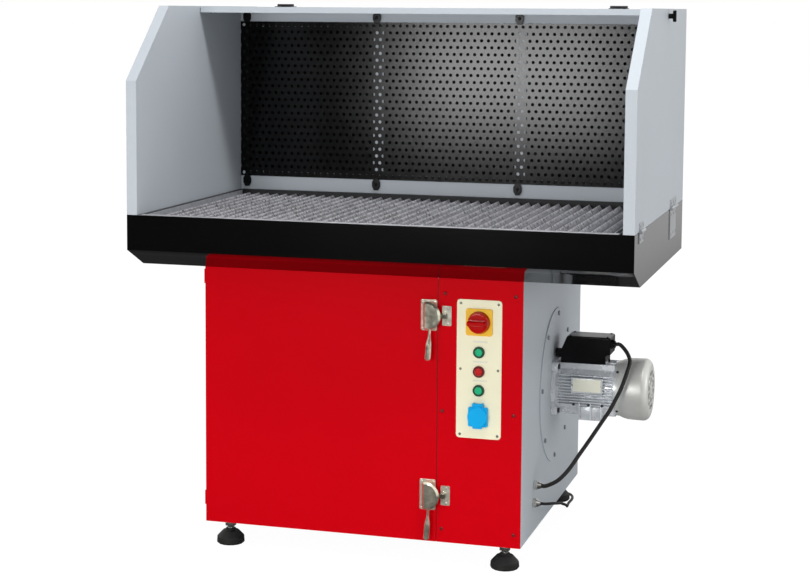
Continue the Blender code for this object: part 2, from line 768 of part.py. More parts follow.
def pleated_outline(centre):
    # one star-shaped loop: out along the pleats' outer side, back along their inner side
    outer = CARTRIDGE_RADIUS - CARTRIDGE_CAP / 2
    points = []
    for index in range(2 * CARTRIDGE_PLEATS):
        angle = math.pi * index / CARTRIDGE_PLEATS
        radius = outer if index % 2 == 0 else outer - PLEAT_DEPTH
        points.append((centre[0] + radius * math.cos(angle), centre[1] + radius * math.sin(angle)))
    return points


def filter_cartridge(side):
    centre = cartridge_centres()[side]
    rear = TUBE_PLATE_Y - GAP
    front = rear - CARTRIDGE_LENGTH
    media = prism(pleated_outline(centre), "Y", (front + CARTRIDGE_CAP / 2, rear - CARTRIDGE_CAP / 2))
    front_cap = lathe([(front, CARTRIDGE_RADIUS), (front + CARTRIDGE_CAP, CARTRIDGE_RADIUS)], "Y", centre,
                      24)
    rear_cap = lathe([(rear - CARTRIDGE_CAP, CARTRIDGE_RADIUS), (rear, CARTRIDGE_RADIUS)], "Y", centre,
                     24)
    bore = lathe([(front + 2 * CARTRIDGE_CAP, CARTRIDGE_BORE), (rear + OVERRUN, CARTRIDGE_BORE)], "Y",
                 centre, 16)
    fuse(media, front_cap, rear_cap)
    cut(media, bore)
    knob_start = front - FILTER_KNOB_LENGTH
    knob = lathe([(knob_start, FILTER_KNOB_RADIUS / 2), (knob_start + THIN_SHEET, FILTER_KNOB_RADIUS),
                  (front - THIN_SHEET, FILTER_KNOB_RADIUS), (front + THIN_SHEET, FILTER_KNOB_RADIUS / 2)],
                  "Y", centre, 12)
    rod = lathe([(front, TIE_ROD_RADIUS), (TUBE_PLATE_Y + SHEET / 2 - GAP, TIE_ROD_RADIUS)], "Y", centre,
                10)
    fuse(media, knob, rod)
    return finish(media, "filter_cartridge_" + side, FILTER_MEDIA)


def dust_bin():
    middle = (CABINET_LEFT + PARTITION_X) / 2
    front = CABINET_FACE + BIN_SETBACK
    floor = FLOOR_GAP + SHEET + GAP
    x_span = (middle - BIN_WIDTH / 2, middle + BIN_WIDTH / 2)
    y_span = (front, front + BIN_DEPTH)
    body = block(x_span, y_span, (floor, floor + BIN_HEIGHT))
    hollow = block((x_span[0] + THIN_SHEET, x_span[1] - THIN_SHEET),
                   (y_span[0] + THIN_SHEET, y_span[1] - THIN_SHEET),
                   (floor + THIN_SHEET, floor + BIN_HEIGHT + OVERRUN))
    cut(body, hollow)
    level = (floor + BIN_HEIGHT / 2 - BIN_HANDLE_BAR / 2, floor + BIN_HEIGHT / 2 + BIN_HANDLE_BAR / 2)
    half = BIN_HANDLE_WIDTH / 2
    bar_front = front - BIN_HANDLE_REACH
    outline = [(middle - half, front + THIN_SHEET / 2), (middle - half, bar_front),
               (middle + half, bar_front),
               (middle + half, front + THIN_SHEET / 2),
               (middle + half - BIN_HANDLE_BAR, front + THIN_SHEET / 2),
               (middle + half - BIN_HANDLE_BAR, bar_front + BIN_HANDLE_BAR),
               (middle - half + BIN_HANDLE_BAR, bar_front + BIN_HANDLE_BAR),
               (middle - half + BIN_HANDLE_BAR, front + THIN_SHEET / 2)]
    fuse(body, prism(outline, "Z", level))
    return finish(body, "dust_bin", GALVANISED)


# Levelling feet

def foot(corner, centre):
    profile = [(0.0, PAD_RADIUS - PAD_EDGE), (PAD_EDGE, PAD_RADIUS), (PAD_RIM_HEIGHT, PAD_WAIST_RADIUS),
               (PAD_SHOULDER_HEIGHT, PAD_SHOULDER_RADIUS), (PAD_SHOULDER_HEIGHT, PAD_HUB_RADIUS),
               (PAD_HUB_HEIGHT, PAD_HUB_RADIUS)]
    pad = lathe(profile, "Z", centre, 16)
    stem = lathe([(PAD_SHOULDER_HEIGHT, STEM_RADIUS), (FLOOR_GAP + STEM_TOP, STEM_RADIUS)], "Z", centre,
                 STEM_SIDES)
    grip = lathe([(STEM_GRIP_START, STEM_NUT_RADIUS),
                  (STEM_GRIP_START + STEM_NUT_HEIGHT, STEM_NUT_RADIUS)], "Z", centre, 6)
    fuse(pad, stem, grip)
    return finish(pad, "foot_" + corner, BLACK_RUBBER, (*centre, 0.0), True)


# Tray and grate

def tray_outline():
    return [(FRONT, WORK_HEIGHT), (FRONT, WORK_HEIGHT - TRAY_FRONT_HEIGHT),
            (FRONT + TRAY_CHAMFER_RUN, TRAY_BOTTOM),
            (TABLE_REAR, TRAY_BOTTOM), (TABLE_REAR, WORK_HEIGHT)]


def tray():
    body = prism(tray_outline(), "X", (TABLE_LEFT, TABLE_RIGHT))
    hollow = prism(inset(tray_outline(), SHEET), "X", (TABLE_LEFT + SHEET, TABLE_RIGHT - SHEET))
    top = (WORK_HEIGHT - SHEET - OVERRUN, WORK_HEIGHT + OVERRUN)
    grate_hole = block((-GRATE_WIDTH / 2, GRATE_WIDTH / 2), (GRATE_FRONT, GRATE_REAR), top)
    duct_middle = (PLENUM_FACE + TABLE_REAR) / 2
    duct_hole = block((-DUCT_WIDTH / 2, DUCT_WIDTH / 2),
                      (duct_middle - DUCT_DEPTH / 2, duct_middle + DUCT_DEPTH / 2), top)
    outlet = block((CABINET_LEFT + OUTLET_MARGIN, PARTITION_X - OUTLET_MARGIN),
                   (SHELL_FRONT + OUTLET_MARGIN, TABLE_REAR - OUTLET_MARGIN),
                   (TRAY_BOTTOM - OVERRUN, TRAY_BOTTOM + SHEET + OVERRUN))
    cut(body, hollow, grate_hole, duct_hole, outlet)
    fuse(body, *tray_leaves())
    return finish(body, "tray", BLACK_PAINT)


def frame_section():
    # rim on the tray's top sheet, web down the opening's edge, ledge under the grate
    top = WORK_HEIGHT + GAP + THIN_SHEET
    low = WORK_HEIGHT - FRAME_DROP
    return [(FRAME_RIM, top), (-THIN_SHEET, top), (-THIN_SHEET, low + THIN_SHEET),
            (-FRAME_LEDGE, low + THIN_SHEET),
            (-FRAME_LEDGE, low), (0.0, low), (0.0, top - THIN_SHEET), (FRAME_RIM, top - THIN_SHEET)]


def grate_frame():
    # the section is swept round the opening with mitred corners
    half = GRATE_WIDTH / 2 - GAP
    near = GRATE_FRONT + GAP
    far = GRATE_REAR - GAP
    bm = bmesh.new()
    rings = []
    for side_x, side_y, y in ((-1, -1, near), (1, -1, near), (1, 1, far), (-1, 1, far)):
        rings.append([bm.verts.new((side_x * (half + out), y + side_y * out, z))
                      for out, z in frame_section()])
    for ring, after in zip(rings, rings[1:] + rings[:1]):
        for index in range(len(ring)):
            follow = (index + 1) % len(ring)
            bm.faces.new((ring[index], ring[follow], after[follow], after[index]))
    frame = as_object(bm)
    low = WORK_HEIGHT - FRAME_DROP
    depth = (near + FRAME_LEDGE / 2, far - FRAME_LEDGE / 2)
    span = 2 * half / GRATE_PANELS
    bars = []
    for joint in range(1, GRATE_PANELS):
        middle = -half + joint * span
        bars.append(block((middle - CROSS_BAR / 2, middle + CROSS_BAR / 2), depth,
                          (low - THIN_SHEET, low + THIN_SHEET / 2)))
    fuse(frame, *bars)
    return finish(frame, "grate_frame", GALVANISED)


def grate_panel(name, index):
    inner = GRATE_WIDTH - 2 * (GAP + THIN_SHEET + PANEL_PLAY)
    share = inner / GRATE_PANELS
    left = -inner / 2 + index * share + PANEL_PLAY / 2
    pitch = (share - PANEL_PLAY) / RIDGES_PER_PANEL
    low = WORK_HEIGHT - FRAME_DROP + THIN_SHEET + GAP + CORRUGATION_SKIN
    high = low + RIDGE_HEIGHT - CORRUGATION_SKIN
    near = GRATE_FRONT + GAP + THIN_SHEET + PANEL_PLAY
    far = GRATE_REAR - GAP - THIN_SHEET - PANEL_PLAY
    section = []
    for ridge in range(RIDGES_PER_PANEL):
        start = left + ridge * pitch
        section += [(start, low), (start + (pitch - RIDGE_FLAT) / 2, high),
                    (start + (pitch + RIDGE_FLAT) / 2, high)]
    section.append((left + RIDGES_PER_PANEL * pitch, low))
    outline = section + [(x, z - CORRUGATION_SKIN) for x, z in reversed(section)]
    panel = prism(outline, "Y", (near, far))
    slots = []
    run = (far - near - (VALLEY_SLOTS + 1) * SLOT_BRIDGE) / VALLEY_SLOTS
    for ridge in range(1, RIDGES_PER_PANEL):
        middle = left + ridge * pitch
        for slot in range(VALLEY_SLOTS):
            start = near + SLOT_BRIDGE + slot * (run + SLOT_BRIDGE)
            slots.append(block((middle - SLOT_WIDTH / 2, middle + SLOT_WIDTH / 2), (start, start + run),
                               (low - 2 * CORRUGATION_SKIN, low + CORRUGATION_SKIN / 2)))
    cut(panel, together(slots))
    return finish(panel, name, GALVANISED)


# Rear plenum, perforated panels and turn clips

def rear_plenum():
    body = block((-PLENUM_HALF, PLENUM_HALF), (PLENUM_FACE, TABLE_REAR), (WORK_HEIGHT + GAP, PLENUM_TOP))
    hollow = block((-PLENUM_HALF + SHEET, PLENUM_HALF - SHEET), (PLENUM_FACE + SHEET, TABLE_REAR - SHEET),
                   (WORK_HEIGHT - OVERRUN, PLENUM_TOP - SHEET))
    cut(body, hollow, *plenum_windows())
    leaves = [moved(fixed_leaf(ROOF_HINGE_LENGTH, ROOF_LEAF), roof_hinge_frame(side)) for side in (-1, 1)]
    fuse(body, *leaves)
    return finish(body, "rear_plenum", GREY_PAINT)


def plenum_windows():
    # a post stays between each two windows, behind the joint of two perforated panels
    share = 2 * PLENUM_HALF / PERFORATED_PANELS
    half = JOINT_POST_WIDTH / 2
    lefts = [-PLENUM_HALF + FRAME_LEDGE]
    rights = []
    for joint in range(1, PERFORATED_PANELS):
        post = -PLENUM_HALF + joint * share + JOINT_POST_SHIFT
        rights.append(post - half)
        lefts.append(post + half)
    rights.append(PLENUM_HALF - FRAME_LEDGE)
    depth = (PLENUM_FACE - OVERRUN, PLENUM_FACE + OVERRUN)
    height = (PERFORATED_BOTTOM + PANEL_LAP, PERFORATED_TOP - PANEL_LAP)
    return [block(span, depth, height) for span in zip(lefts, rights)]


def perforated_panel(name, index):
    width = 2 * (WING_INNER - PLENUM_SIDE_PLAY) / PERFORATED_PANELS
    left = -PERFORATED_PANELS * width / 2 + index * width + GAP / 2
    right = left + width - GAP
    panel = block((left, right), (PANEL_FACE, PANEL_FACE + THIN_SHEET),
                  (PERFORATED_BOTTOM, PERFORATED_TOP))
    middle_x = (left + right) / 2
    middle_z = (PERFORATED_BOTTOM + PERFORATED_TOP) / 2
    depth = (PANEL_FACE - OVERRUN, PANEL_FACE + OVERRUN)
    holes = []
    for row in range(HOLE_ROWS):
        shift = HOLE_PITCH / 4 if row % 2 == 0 else -HOLE_PITCH / 4
        z = middle_z + (row - (HOLE_ROWS - 1) / 2) * HOLE_PITCH
        for column in range(HOLE_COLUMNS):
            x = middle_x + shift + (column - (HOLE_COLUMNS - 1) / 2) * HOLE_PITCH
            holes.append(lathe([(depth[0], HOLE_RADIUS), (depth[1], HOLE_RADIUS)], "Y", (x, z),
                               HOLE_SIDES))
    cut(panel, together(holes))
    return finish(panel, name, PANEL_BLACK)


def clip_places():
    width = 2 * PLENUM_HALF / PERFORATED_PANELS
    columns = [-PLENUM_HALF + CLIP_INSET, -width / 2, width / 2, PLENUM_HALF - CLIP_INSET]
    rows = {"top": PERFORATED_TOP + CLIP_OFFSET, "bottom": PERFORATED_BOTTOM - CLIP_OFFSET}
    return {f"turn_clip_{row}_{number + 1}": (x, z) for row, z in rows.items()
            for number, x in enumerate(columns)}


def turn_clip(name, centre):
    half = (CLIP_LENGTH - CLIP_WIDTH) / 2
    outline = []
    for end, side in enumerate((1, -1)):
        for step in range(CLIP_END_STEPS + 1):
            angle = math.pi * (end + step / CLIP_END_STEPS)
            outline.append((centre[0] + CLIP_WIDTH / 2 * math.cos(angle),
                            centre[1] + side * half + CLIP_WIDTH / 2 * math.sin(angle)))
    back = PANEL_FACE - GAP
    front = back - CLIP_THICKNESS
    clip = prism(outline, "Y", (front, back))
    boss = lathe([(front + CLIP_THICKNESS / 2, CLIP_BOSS_RADIUS), (PLENUM_FACE - GAP, CLIP_BOSS_RADIUS)],
                 "Y", centre, 6)
    head = lathe([(front - CLIP_SCREW_HEIGHT, CLIP_SCREW_RADIUS / 2),
                  (front - CLIP_SCREW_HEIGHT / 2, CLIP_SCREW_RADIUS),
                  (front + CLIP_THICKNESS / 2, CLIP_SCREW_RADIUS)], "Y", centre, 6)
    fuse(clip, boss, head)
    return finish(clip, name, BLACK_PLASTIC, (centre[0], front, centre[1]), True)


# Leaf hinges: the barrel's axis is local X, local Y points away from the two panels

def leaf_depths():
    # the plate sinks a little into its panel, and the tab beside the barrel stays clear of it
    low = -BARREL_RADIUS
    return (low - GAP - LEAF_SINK, low + LEAF_THICKNESS), (low, low + LEAF_THICKNESS)


def fixed_leaf(length, leaf):
    half = length / 2
    inner = length / 6 + GAP
    barrel = lathe([(-half, BARREL_RADIUS), (-inner, BARREL_RADIUS), (-inner, PIN_RADIUS),
                    (inner, PIN_RADIUS),
                    (inner, BARREL_RADIUS), (half, BARREL_RADIUS)], "X", (0, 0), BARREL_SIDES)
    sunk, clear = leaf_depths()
    plate = block((-half, half), sunk, (-leaf, -BARREL_RADIUS - PLAY))
    tabs = [block(span, clear, (-BARREL_RADIUS - 2 * PLAY, -LEAF_NECK))
            for span in ((-half, -inner), (inner, half))]
    return fuse(barrel, plate, *tabs)


def moving_leaf(length, leaf):
    half = length / 2
    inner = length / 6 - GAP
    bore = PIN_RADIUS + GAP
    barrel = lathe([(-inner, bore), (-inner, BARREL_RADIUS), (inner, BARREL_RADIUS), (inner, bore)], "X",
                   (0, 0), BARREL_SIDES, True)
    sunk, clear = leaf_depths()
    plate = block((-half, half), sunk, (BARREL_RADIUS + PLAY, leaf))
    tab = block((-inner, inner), clear, (LEAF_NECK, BARREL_RADIUS + 2 * PLAY))
    return fuse(barrel, plate, tab)


def wing_hinges():
    # place of each hinge behind the tray's front, its length and its two leaves
    return ((WING_HINGE_FRONT, FRONT_HINGE_LENGTH, FRONT_FIXED_LEAF, FRONT_MOVING_LEAF),
            (WING_HINGE_REAR, REAR_HINGE_LENGTH, REAR_FIXED_LEAF, REAR_MOVING_LEAF))


def wing_hinge_frame(setback):
    # right wing: the barrel lies along Y at the seam between the tray and the wing
    place = Vector((TABLE_RIGHT + GAP + BARREL_RADIUS, FRONT + setback, WORK_HEIGHT + GAP / 2))
    turn = Matrix((AXES["Y"], AXES["X"], AXES["Z"])).transposed().to_4x4()
    return Matrix.Translation(place) @ turn


def roof_hinge_frame(side):
    place = Vector((side * ROOF_HINGE_SPREAD / 2, PLENUM_FACE - ROOF_REAR_PLAY / 2,
                    PLENUM_TOP + GAP + BARREL_RADIUS))
    turn = Matrix((AXES["X"], AXES["Z"], -AXES["Y"])).transposed().to_4x4()
    return Matrix.Translation(place) @ turn


def tray_leaves():
    leaves = []
    for setback, length, fixed, _ in wing_hinges():
        right = moved(fixed_leaf(length, fixed), wing_hinge_frame(setback))
        leaves += [right, mirrored(right)]
    return leaves


# Side wings, lock knobs and roof flap

def wing_outline():
    low = WORK_HEIGHT + GAP
    return [(FRONT, low), (FRONT, WORK_HEIGHT + WING_FRONT_HEIGHT), (FRONT + WING_TOP_SETBACK, HOOD_TOP),
            (TABLE_REAR, HOOD_TOP), (TABLE_REAR, low)]


def right_wing():
    panel = prism(wing_outline(), "X", (WING_INNER, TABLE_RIGHT))
    hollow = prism(inset(wing_outline(), WING_SKIN), "X",
                   (WING_INNER + WING_SKIN, TABLE_RIGHT - WING_SKIN))
    middle = (WING_INNER + TABLE_RIGHT) / 2
    drain_span = (middle - WING_DRAIN_WIDTH / 2, middle + WING_DRAIN_WIDTH / 2)
    drain = block(drain_span,
                  (FRONT + TABLE_DEPTH / 2 - WING_DRAIN_LENGTH / 2,
                   FRONT + TABLE_DEPTH / 2 + WING_DRAIN_LENGTH / 2),
                  (WORK_HEIGHT - OVERRUN, WORK_HEIGHT + OVERRUN))
    stud_radius = KNOB_STUD_RADIUS + GAP
    stud = lathe([(WING_INNER - OVERRUN, stud_radius), (TABLE_RIGHT + OVERRUN, stud_radius)], "X",
                 knob_centre(), 12)
    cut(panel, hollow, drain, stud)
    leaves = [moved(moving_leaf(length, leaf), wing_hinge_frame(setback))
              for setback, length, _, leaf in wing_hinges()]
    return fuse(panel, *leaves)


def wing_pivot(side):
    return (side * (TABLE_RIGHT + GAP + BARREL_RADIUS), FRONT + TABLE_DEPTH / 2, WORK_HEIGHT + GAP / 2)


def knob_centre():
    return (FRONT + KNOB_SETBACK, HOOD_TOP - KNOB_DROP)


def right_knob():
    start = TABLE_RIGHT + GAP
    y, z = knob_centre()
    hub_end = start + KNOB_HUB_LENGTH
    hub = lathe([(WING_INNER + PLAY, KNOB_STUD_RADIUS), (start, KNOB_STUD_RADIUS),
                 (start, KNOB_HUB_RADIUS),
                 (hub_end + KNOB_BAR_DEPTH / 2, KNOB_HUB_RADIUS)], "X", (y, z), 12)
    outline = rounded_rectangle((y, z), KNOB_BAR_THICKNESS, KNOB_BAR_LENGTH, KNOB_BAR_THICKNESS / 3, 1)
    bar = soften(prism(outline, "X", (hub_end, hub_end + KNOB_BAR_DEPTH)), KNOB_BAR_DEPTH / 6)
    return fuse(hub, bar)


def wings_and_knobs():
    wing = right_wing()
    finish(mirrored(wing), "wing_left", GREY_PAINT, wing_pivot(-1))
    finish(wing, "wing_right", GREY_PAINT, wing_pivot(1))
    knob = right_knob()
    y, z = knob_centre()
    finish(mirrored(knob), "wing_knob_left", BLACK_PLASTIC, (-TABLE_RIGHT, y, z), True)
    finish(knob, "wing_knob_right", BLACK_PLASTIC, (TABLE_RIGHT, y, z), True)


def roof_pivot():
    return (0.0, PLENUM_FACE - ROOF_REAR_PLAY / 2, PLENUM_TOP + GAP + BARREL_RADIUS)


def roof_flap():
    half = WING_INNER - ROOF_SIDE_PLAY
    near = FRONT + ROOF_FRONT
    far = PLENUM_FACE - ROOF_REAR_PLAY
    body = block((-half, half), (near, far), (PLENUM_TOP - ROOF_LIP, PLENUM_TOP))
    hollow = block((-half + THIN_SHEET, half - THIN_SHEET), (near + THIN_SHEET, far - THIN_SHEET),
                   (PLENUM_TOP - ROOF_LIP - OVERRUN, PLENUM_TOP - THIN_SHEET))
    behind_lip = block((-half - OVERRUN, half + OVERRUN), (near + THIN_SHEET, far + OVERRUN),
                       (PLENUM_TOP - ROOF_LIP - OVERRUN, PLENUM_TOP - ROOF_SIDE_LIP))
    cut(body, hollow, behind_lip)
    leaves = [moved(moving_leaf(ROOF_HINGE_LENGTH, ROOF_LEAF), roof_hinge_frame(side))
              for side in (-1, 1)]
    fuse(body, *leaves)
    return finish(body, "roof_flap", GREY_PAINT, roof_pivot())


# Door

def door():
    left = CABINET_LEFT + GAP
    right = SEAM_X - SEAM / 2
    low = FLOOR_GAP
    high = CABINET_TOP - DOOR_EDGE_PLAY
    face = block((left, right), (CABINET_FACE, CABINET_FACE + FACE_SHEET), (low, high))
    pan_x = (CABINET_LEFT + FRAME_LIP + DOOR_PAN_HINGE_PLAY,
             SEAM_X - POST_WIDTH / 2 - DOOR_PAN_PLAY)
    pan_z = (FLOOR_GAP + FRAME_LIP + DOOR_PAN_PLAY, CABINET_TOP - FRAME_LIP - DOOR_PAN_PLAY)
    pan_end = CABINET_FACE + FACE_SHEET + DOOR_PAN_DEPTH
    pan = block(pan_x, (CABINET_FACE + FACE_SHEET / 2, pan_end), pan_z)
    hollow = block((pan_x[0] + THIN_SHEET, pan_x[1] - THIN_SHEET),
                   (CABINET_FACE + FACE_SHEET, pan_end + OVERRUN),
                   (pan_z[0] + THIN_SHEET, pan_z[1] - THIN_SHEET))
    parts = []
    centre = (DOOR_HINGE.x, DOOR_HINGE.y)
    for start in door_hinge_starts():
        middle = start + HINGE_BARREL_LENGTH / 2
        end = start + HINGE_BARREL_LENGTH
        bore = HINGE_PIN_RADIUS + GAP
        parts.append(lathe([(middle, bore), (middle, HINGE_BARREL_RADIUS), (end, HINGE_BARREL_RADIUS),
                            (end, bore)],
                           "Z", centre, 8, True))
        strap = (CABINET_LEFT - GAP - HINGE_STRAP, CABINET_LEFT - GAP)
        parts.append(block(strap, (CABINET_FACE, DOOR_HINGE.y - HINGE_PIN_RADIUS), (middle, end)))
        parts.append(block((strap[0], left + HINGE_TAB),
                           (CABINET_FACE, CABINET_FACE + FACE_SHEET / 2), (middle, end)))
    fuse(face, pan)
    cut(face, hollow)
    fuse(face, *parts)
    return finish(face, "door", RED_PAINT, DOOR_HINGE)


# Lever latches

def latch_base(name, height):
    back = CABINET_FACE - GAP
    right = SEAM_X - SEAM / 2 - LATCH_BASE_BACK
    outline = rounded_rectangle((right - LATCH_BASE_WIDTH / 2, height), LATCH_BASE_WIDTH,
                                LATCH_BASE_HEIGHT, LATCH_BASE_THICKNESS, 1)
    plate = soften(prism(outline, "Y", (back - LATCH_BASE_THICKNESS, back)), LATCH_BASE_THICKNESS / 4)
    post = lathe([(back - CLAW_LIFT - CLAW_THICKNESS, LATCH_POST_RADIUS),
                  (back - LATCH_BASE_THICKNESS / 2, LATCH_POST_RADIUS)],
                 "Y", (LATCH_HUB_X, height), 10)
    guide_right = right - LATCH_GUIDE_WIDTH / 2
    guide = block((guide_right - LATCH_GUIDE_WIDTH, guide_right),
                  (back - CLAW_LIFT + GAP, back - LATCH_BASE_THICKNESS / 2),
                  (height - LATCH_GUIDE_HEIGHT / 2, height + LATCH_GUIDE_HEIGHT / 2))
    fuse(plate, post, guide)
    return finish(plate, name, BRIGHT_STEEL)


def cam_outline(height):
    points = []
    limit = math.acos(-CAM_FLAT_SIDE / CAM_RADIUS)
    for step in range(CAM_SIDES + 1):
        angle = -limit + 2 * limit * step / CAM_SIDES
        points.append((LATCH_HUB_X + CAM_RADIUS * math.cos(angle), height + CAM_RADIUS * math.sin(angle)))
    return points


def latch_lever(name, height):
    back = CABINET_FACE - GAP - CLAW_LIFT - CLAW_THICKNESS - GAP
    front = back - CAM_THICKNESS
    cam = soften(prism(cam_outline(height), "Y", (front, back)), CAM_RIM, 1, math.radians(60))
    middle = back - CAM_THICKNESS / 2
    grip_start = LEVER_LENGTH - LEVER_GRIP_LENGTH
    tip = LEVER_GRIP_RADIUS / 2
    neck_end = 2 * LEVER_BULGE_DROP - grip_start - LEVER_BULGE_RADIUS
    profile = [(height - LEVER_LENGTH, tip), (height - LEVER_LENGTH + tip, LEVER_GRIP_RADIUS),
               (height - grip_start, LEVER_GRIP_RADIUS),
               (height - LEVER_BULGE_DROP, LEVER_BULGE_RADIUS), (height - neck_end, LEVER_NECK_RADIUS),
               (height - CAM_RADIUS + LEVER_SIDE, LEVER_NECK_RADIUS)]
    arm_x = LATCH_HUB_X + LEVER_SIDE
    arm = lathe(profile, "Z", (arm_x, middle), 10)
    pivot = Matrix.Translation((arm_x, middle, height))
    moved(arm, pivot @ Matrix.Rotation(LEVER_TILT, 4, "Y") @ pivot.inverted())
    fuse(cam, arm)
    return finish(cam, name, BRIGHT_STEEL, (LATCH_HUB_X, middle, height), True)


def lip_left():
    return SEAM_X + KEEPER_SIDE + KEEPER_LIP_SIDE


def latch_claw(name, height):
    back = CABINET_FACE - GAP - CLAW_LIFT
    tip_left = lip_left() + KEEPER_LIP + HOOK_PLAY
    bar = block((LATCH_HUB_X + CLAW_START, tip_left + CLAW_TIP), (back - CLAW_THICKNESS, back),
                (height - CLAW_WIDTH / 2, height + CLAW_WIDTH / 2))
    tip = block((tip_left, tip_left + CLAW_TIP),
                (back - CLAW_THICKNESS / 2, CABINET_FACE - GAP - HOOK_REST),
                (height - CLAW_WIDTH / 2, height + CLAW_WIDTH / 2))
    fuse(bar, tip)
    return finish(bar, name, BRIGHT_STEEL, (LATCH_HUB_X, back, height))


def latch_keeper(name, height):
    back = CABINET_FACE - GAP
    left = SEAM_X + KEEPER_SIDE
    outline = rounded_rectangle((left + KEEPER_WIDTH / 2, height), KEEPER_WIDTH, KEEPER_HEIGHT,
                                KEEPER_THICKNESS, 1)
    plate = prism(outline, "Y", (back - KEEPER_THICKNESS, back))
    lip = block((lip_left(), lip_left() + KEEPER_LIP),
                (back - CLAW_LIFT + HOOK_PLAY, back - KEEPER_THICKNESS / 2),
                (height - KEEPER_LIP_HEIGHT / 2, height + KEEPER_LIP_HEIGHT / 2))
    fuse(plate, lip)
    return finish(plate, name, BRIGHT_STEEL)


# Controls

def control_cover():
    cover = block((SEAM_X + SEAM / 2, CABINET_RIGHT), (CABINET_FACE, CABINET_FACE + FACE_SHEET),
                  (FLOOR_GAP, CABINET_TOP - DOOR_EDGE_PLAY))
    half_width = COVER_WINDOW_WIDTH / 2
    half_height = COVER_WINDOW_HEIGHT / 2
    window = block((CONTROL_X - half_width, CONTROL_X + half_width),
                   (CABINET_FACE - OVERRUN, CABINET_FACE + OVERRUN),
                   (CONTROL_PLATE_CENTRE_HEIGHT - half_height, CONTROL_PLATE_CENTRE_HEIGHT + half_height))
    cut(cover, window)
    return finish(cover, "control_cover", RED_PAINT)


def control_height(rise):
    return CONTROL_PLATE_CENTRE_HEIGHT + rise


def control_plate():
    outline = rounded_rectangle((CONTROL_X, CONTROL_PLATE_CENTRE_HEIGHT), CONTROL_PLATE_WIDTH,
                                CONTROL_PLATE_HEIGHT, CONTROL_PLATE_CORNER)
    plate = prism(outline, "Y", (PLATE_FRONT, PLATE_FRONT + CONTROL_PLATE_THICKNESS))
    depth = (PLATE_FRONT - OVERRUN, PLATE_FRONT + OVERRUN)
    spindle = SWITCH_SPINDLE_RADIUS + GAP
    half = SOCKET_BODY_RADIUS + GAP
    socket = control_height(SOCKET_RISE)
    holes = [lathe([(depth[0], spindle), (depth[1], spindle)], "Y",
                   (CONTROL_X, control_height(SWITCH_RISE)), 20),
             block((CONTROL_X - half, CONTROL_X + half), depth, (socket - half, socket + half))]
    pockets = []
    for rise in BUTTON_RISES:
        sleeve, pocket = bezel_and_pocket((CONTROL_X, control_height(rise)))
        fuse(plate, sleeve)
        pockets.append(pocket)
    cut(plate, *holes, *pockets)
    return finish(plate, "control_plate", CREAM_PLASTIC)


def bezel_and_pocket(centre):
    # a button's bezel with the sleeve behind it, and the blind bore that the button slides in
    front = PLATE_FRONT - GAP - BEZEL_HEIGHT
    end = PLATE_FRONT - GAP + SLEEVE_LENGTH
    edge = SLEEVE_WALL
    rear = PLATE_FRONT + CONTROL_PLATE_THICKNESS / 2
    profile = [(front, BEZEL_RADIUS - edge), (front + edge, BEZEL_RADIUS), (rear, BEZEL_RADIUS),
               (rear, SLEEVE_RADIUS), (end, SLEEVE_RADIUS)]
    bore = SLEEVE_RADIUS - SLEEVE_WALL
    return lathe(profile, "Y", centre, 16), lathe([(front - OVERRUN, bore), (end - SLEEVE_FLOOR, bore)],
                                                  "Y", centre, 16)


def switch_plate():
    back = PLATE_FRONT - GAP
    centre = (CONTROL_X, control_height(SWITCH_RISE))
    outline = rounded_rectangle(centre, SWITCH_PLATE_SIZE, SWITCH_PLATE_SIZE, SWITCH_PLATE_CORNER)
    plate = soften(prism(outline, "Y", (back - SWITCH_PLATE_THICKNESS, back)), SWITCH_PLATE_THICKNESS / 4)
    radius = SWITCH_SPINDLE_RADIUS + GAP
    hole = lathe([(back - OVERRUN, radius), (back + OVERRUN, radius)], "Y", centre, 12)
    cut(plate, hole)
    return finish(plate, "switch_plate", YELLOW_PLASTIC)


def switch_knob():
    back = PLATE_FRONT - GAP - SWITCH_PLATE_THICKNESS - GAP
    centre = (CONTROL_X, control_height(SWITCH_RISE))
    edge = SWITCH_GRIP_WIDTH / 4
    disc = lathe([(back - SWITCH_KNOB_HEIGHT, SWITCH_KNOB_RADIUS - 2 * edge),
                  (back - SWITCH_KNOB_HEIGHT + edge / 2, SWITCH_KNOB_RADIUS - edge),
                  (back - edge, SWITCH_KNOB_RADIUS), (back, SWITCH_KNOB_RADIUS)], "Y", centre, 24)
    reach = SWITCH_KNOB_RADIUS - edge
    grip_front = back - SWITCH_KNOB_HEIGHT - SWITCH_GRIP_HEIGHT
    half = SWITCH_GRIP_WIDTH / 2
    outline = [(centre[0] - reach, centre[1] - half), (centre[0] + reach - half, centre[1] - half),
               (centre[0] + reach, centre[1]),
               (centre[0] + reach - half, centre[1] + half), (centre[0] - reach, centre[1] + half)]
    grip = soften(prism(outline, "Y", (grip_front, back - SWITCH_KNOB_HEIGHT / 2)), edge)
    spindle = lathe([(back - SWITCH_KNOB_HEIGHT / 2, SWITCH_SPINDLE_RADIUS),
                     (back + SWITCH_SPINDLE_LENGTH, SWITCH_SPINDLE_RADIUS)], "Y", centre, 12)
    fuse(disc, grip, spindle)
    return finish(disc, "switch_knob", RED_PLASTIC, (centre[0], back, centre[1]), True)


def push_button(name, rise, look):
    front = PLATE_FRONT - GAP - BEZEL_HEIGHT - BUTTON_PROUD
    radius = SLEEVE_RADIUS - SLEEVE_WALL - GAP
    centre = (CONTROL_X, control_height(rise))
    button = lathe([(front, radius - BUTTON_CHAMFER), (front + BUTTON_CHAMFER, radius),
                    (front + BUTTON_LENGTH, radius)], "Y", centre, 16)
    return finish(button, name, look, (centre[0], front, centre[1]), True)


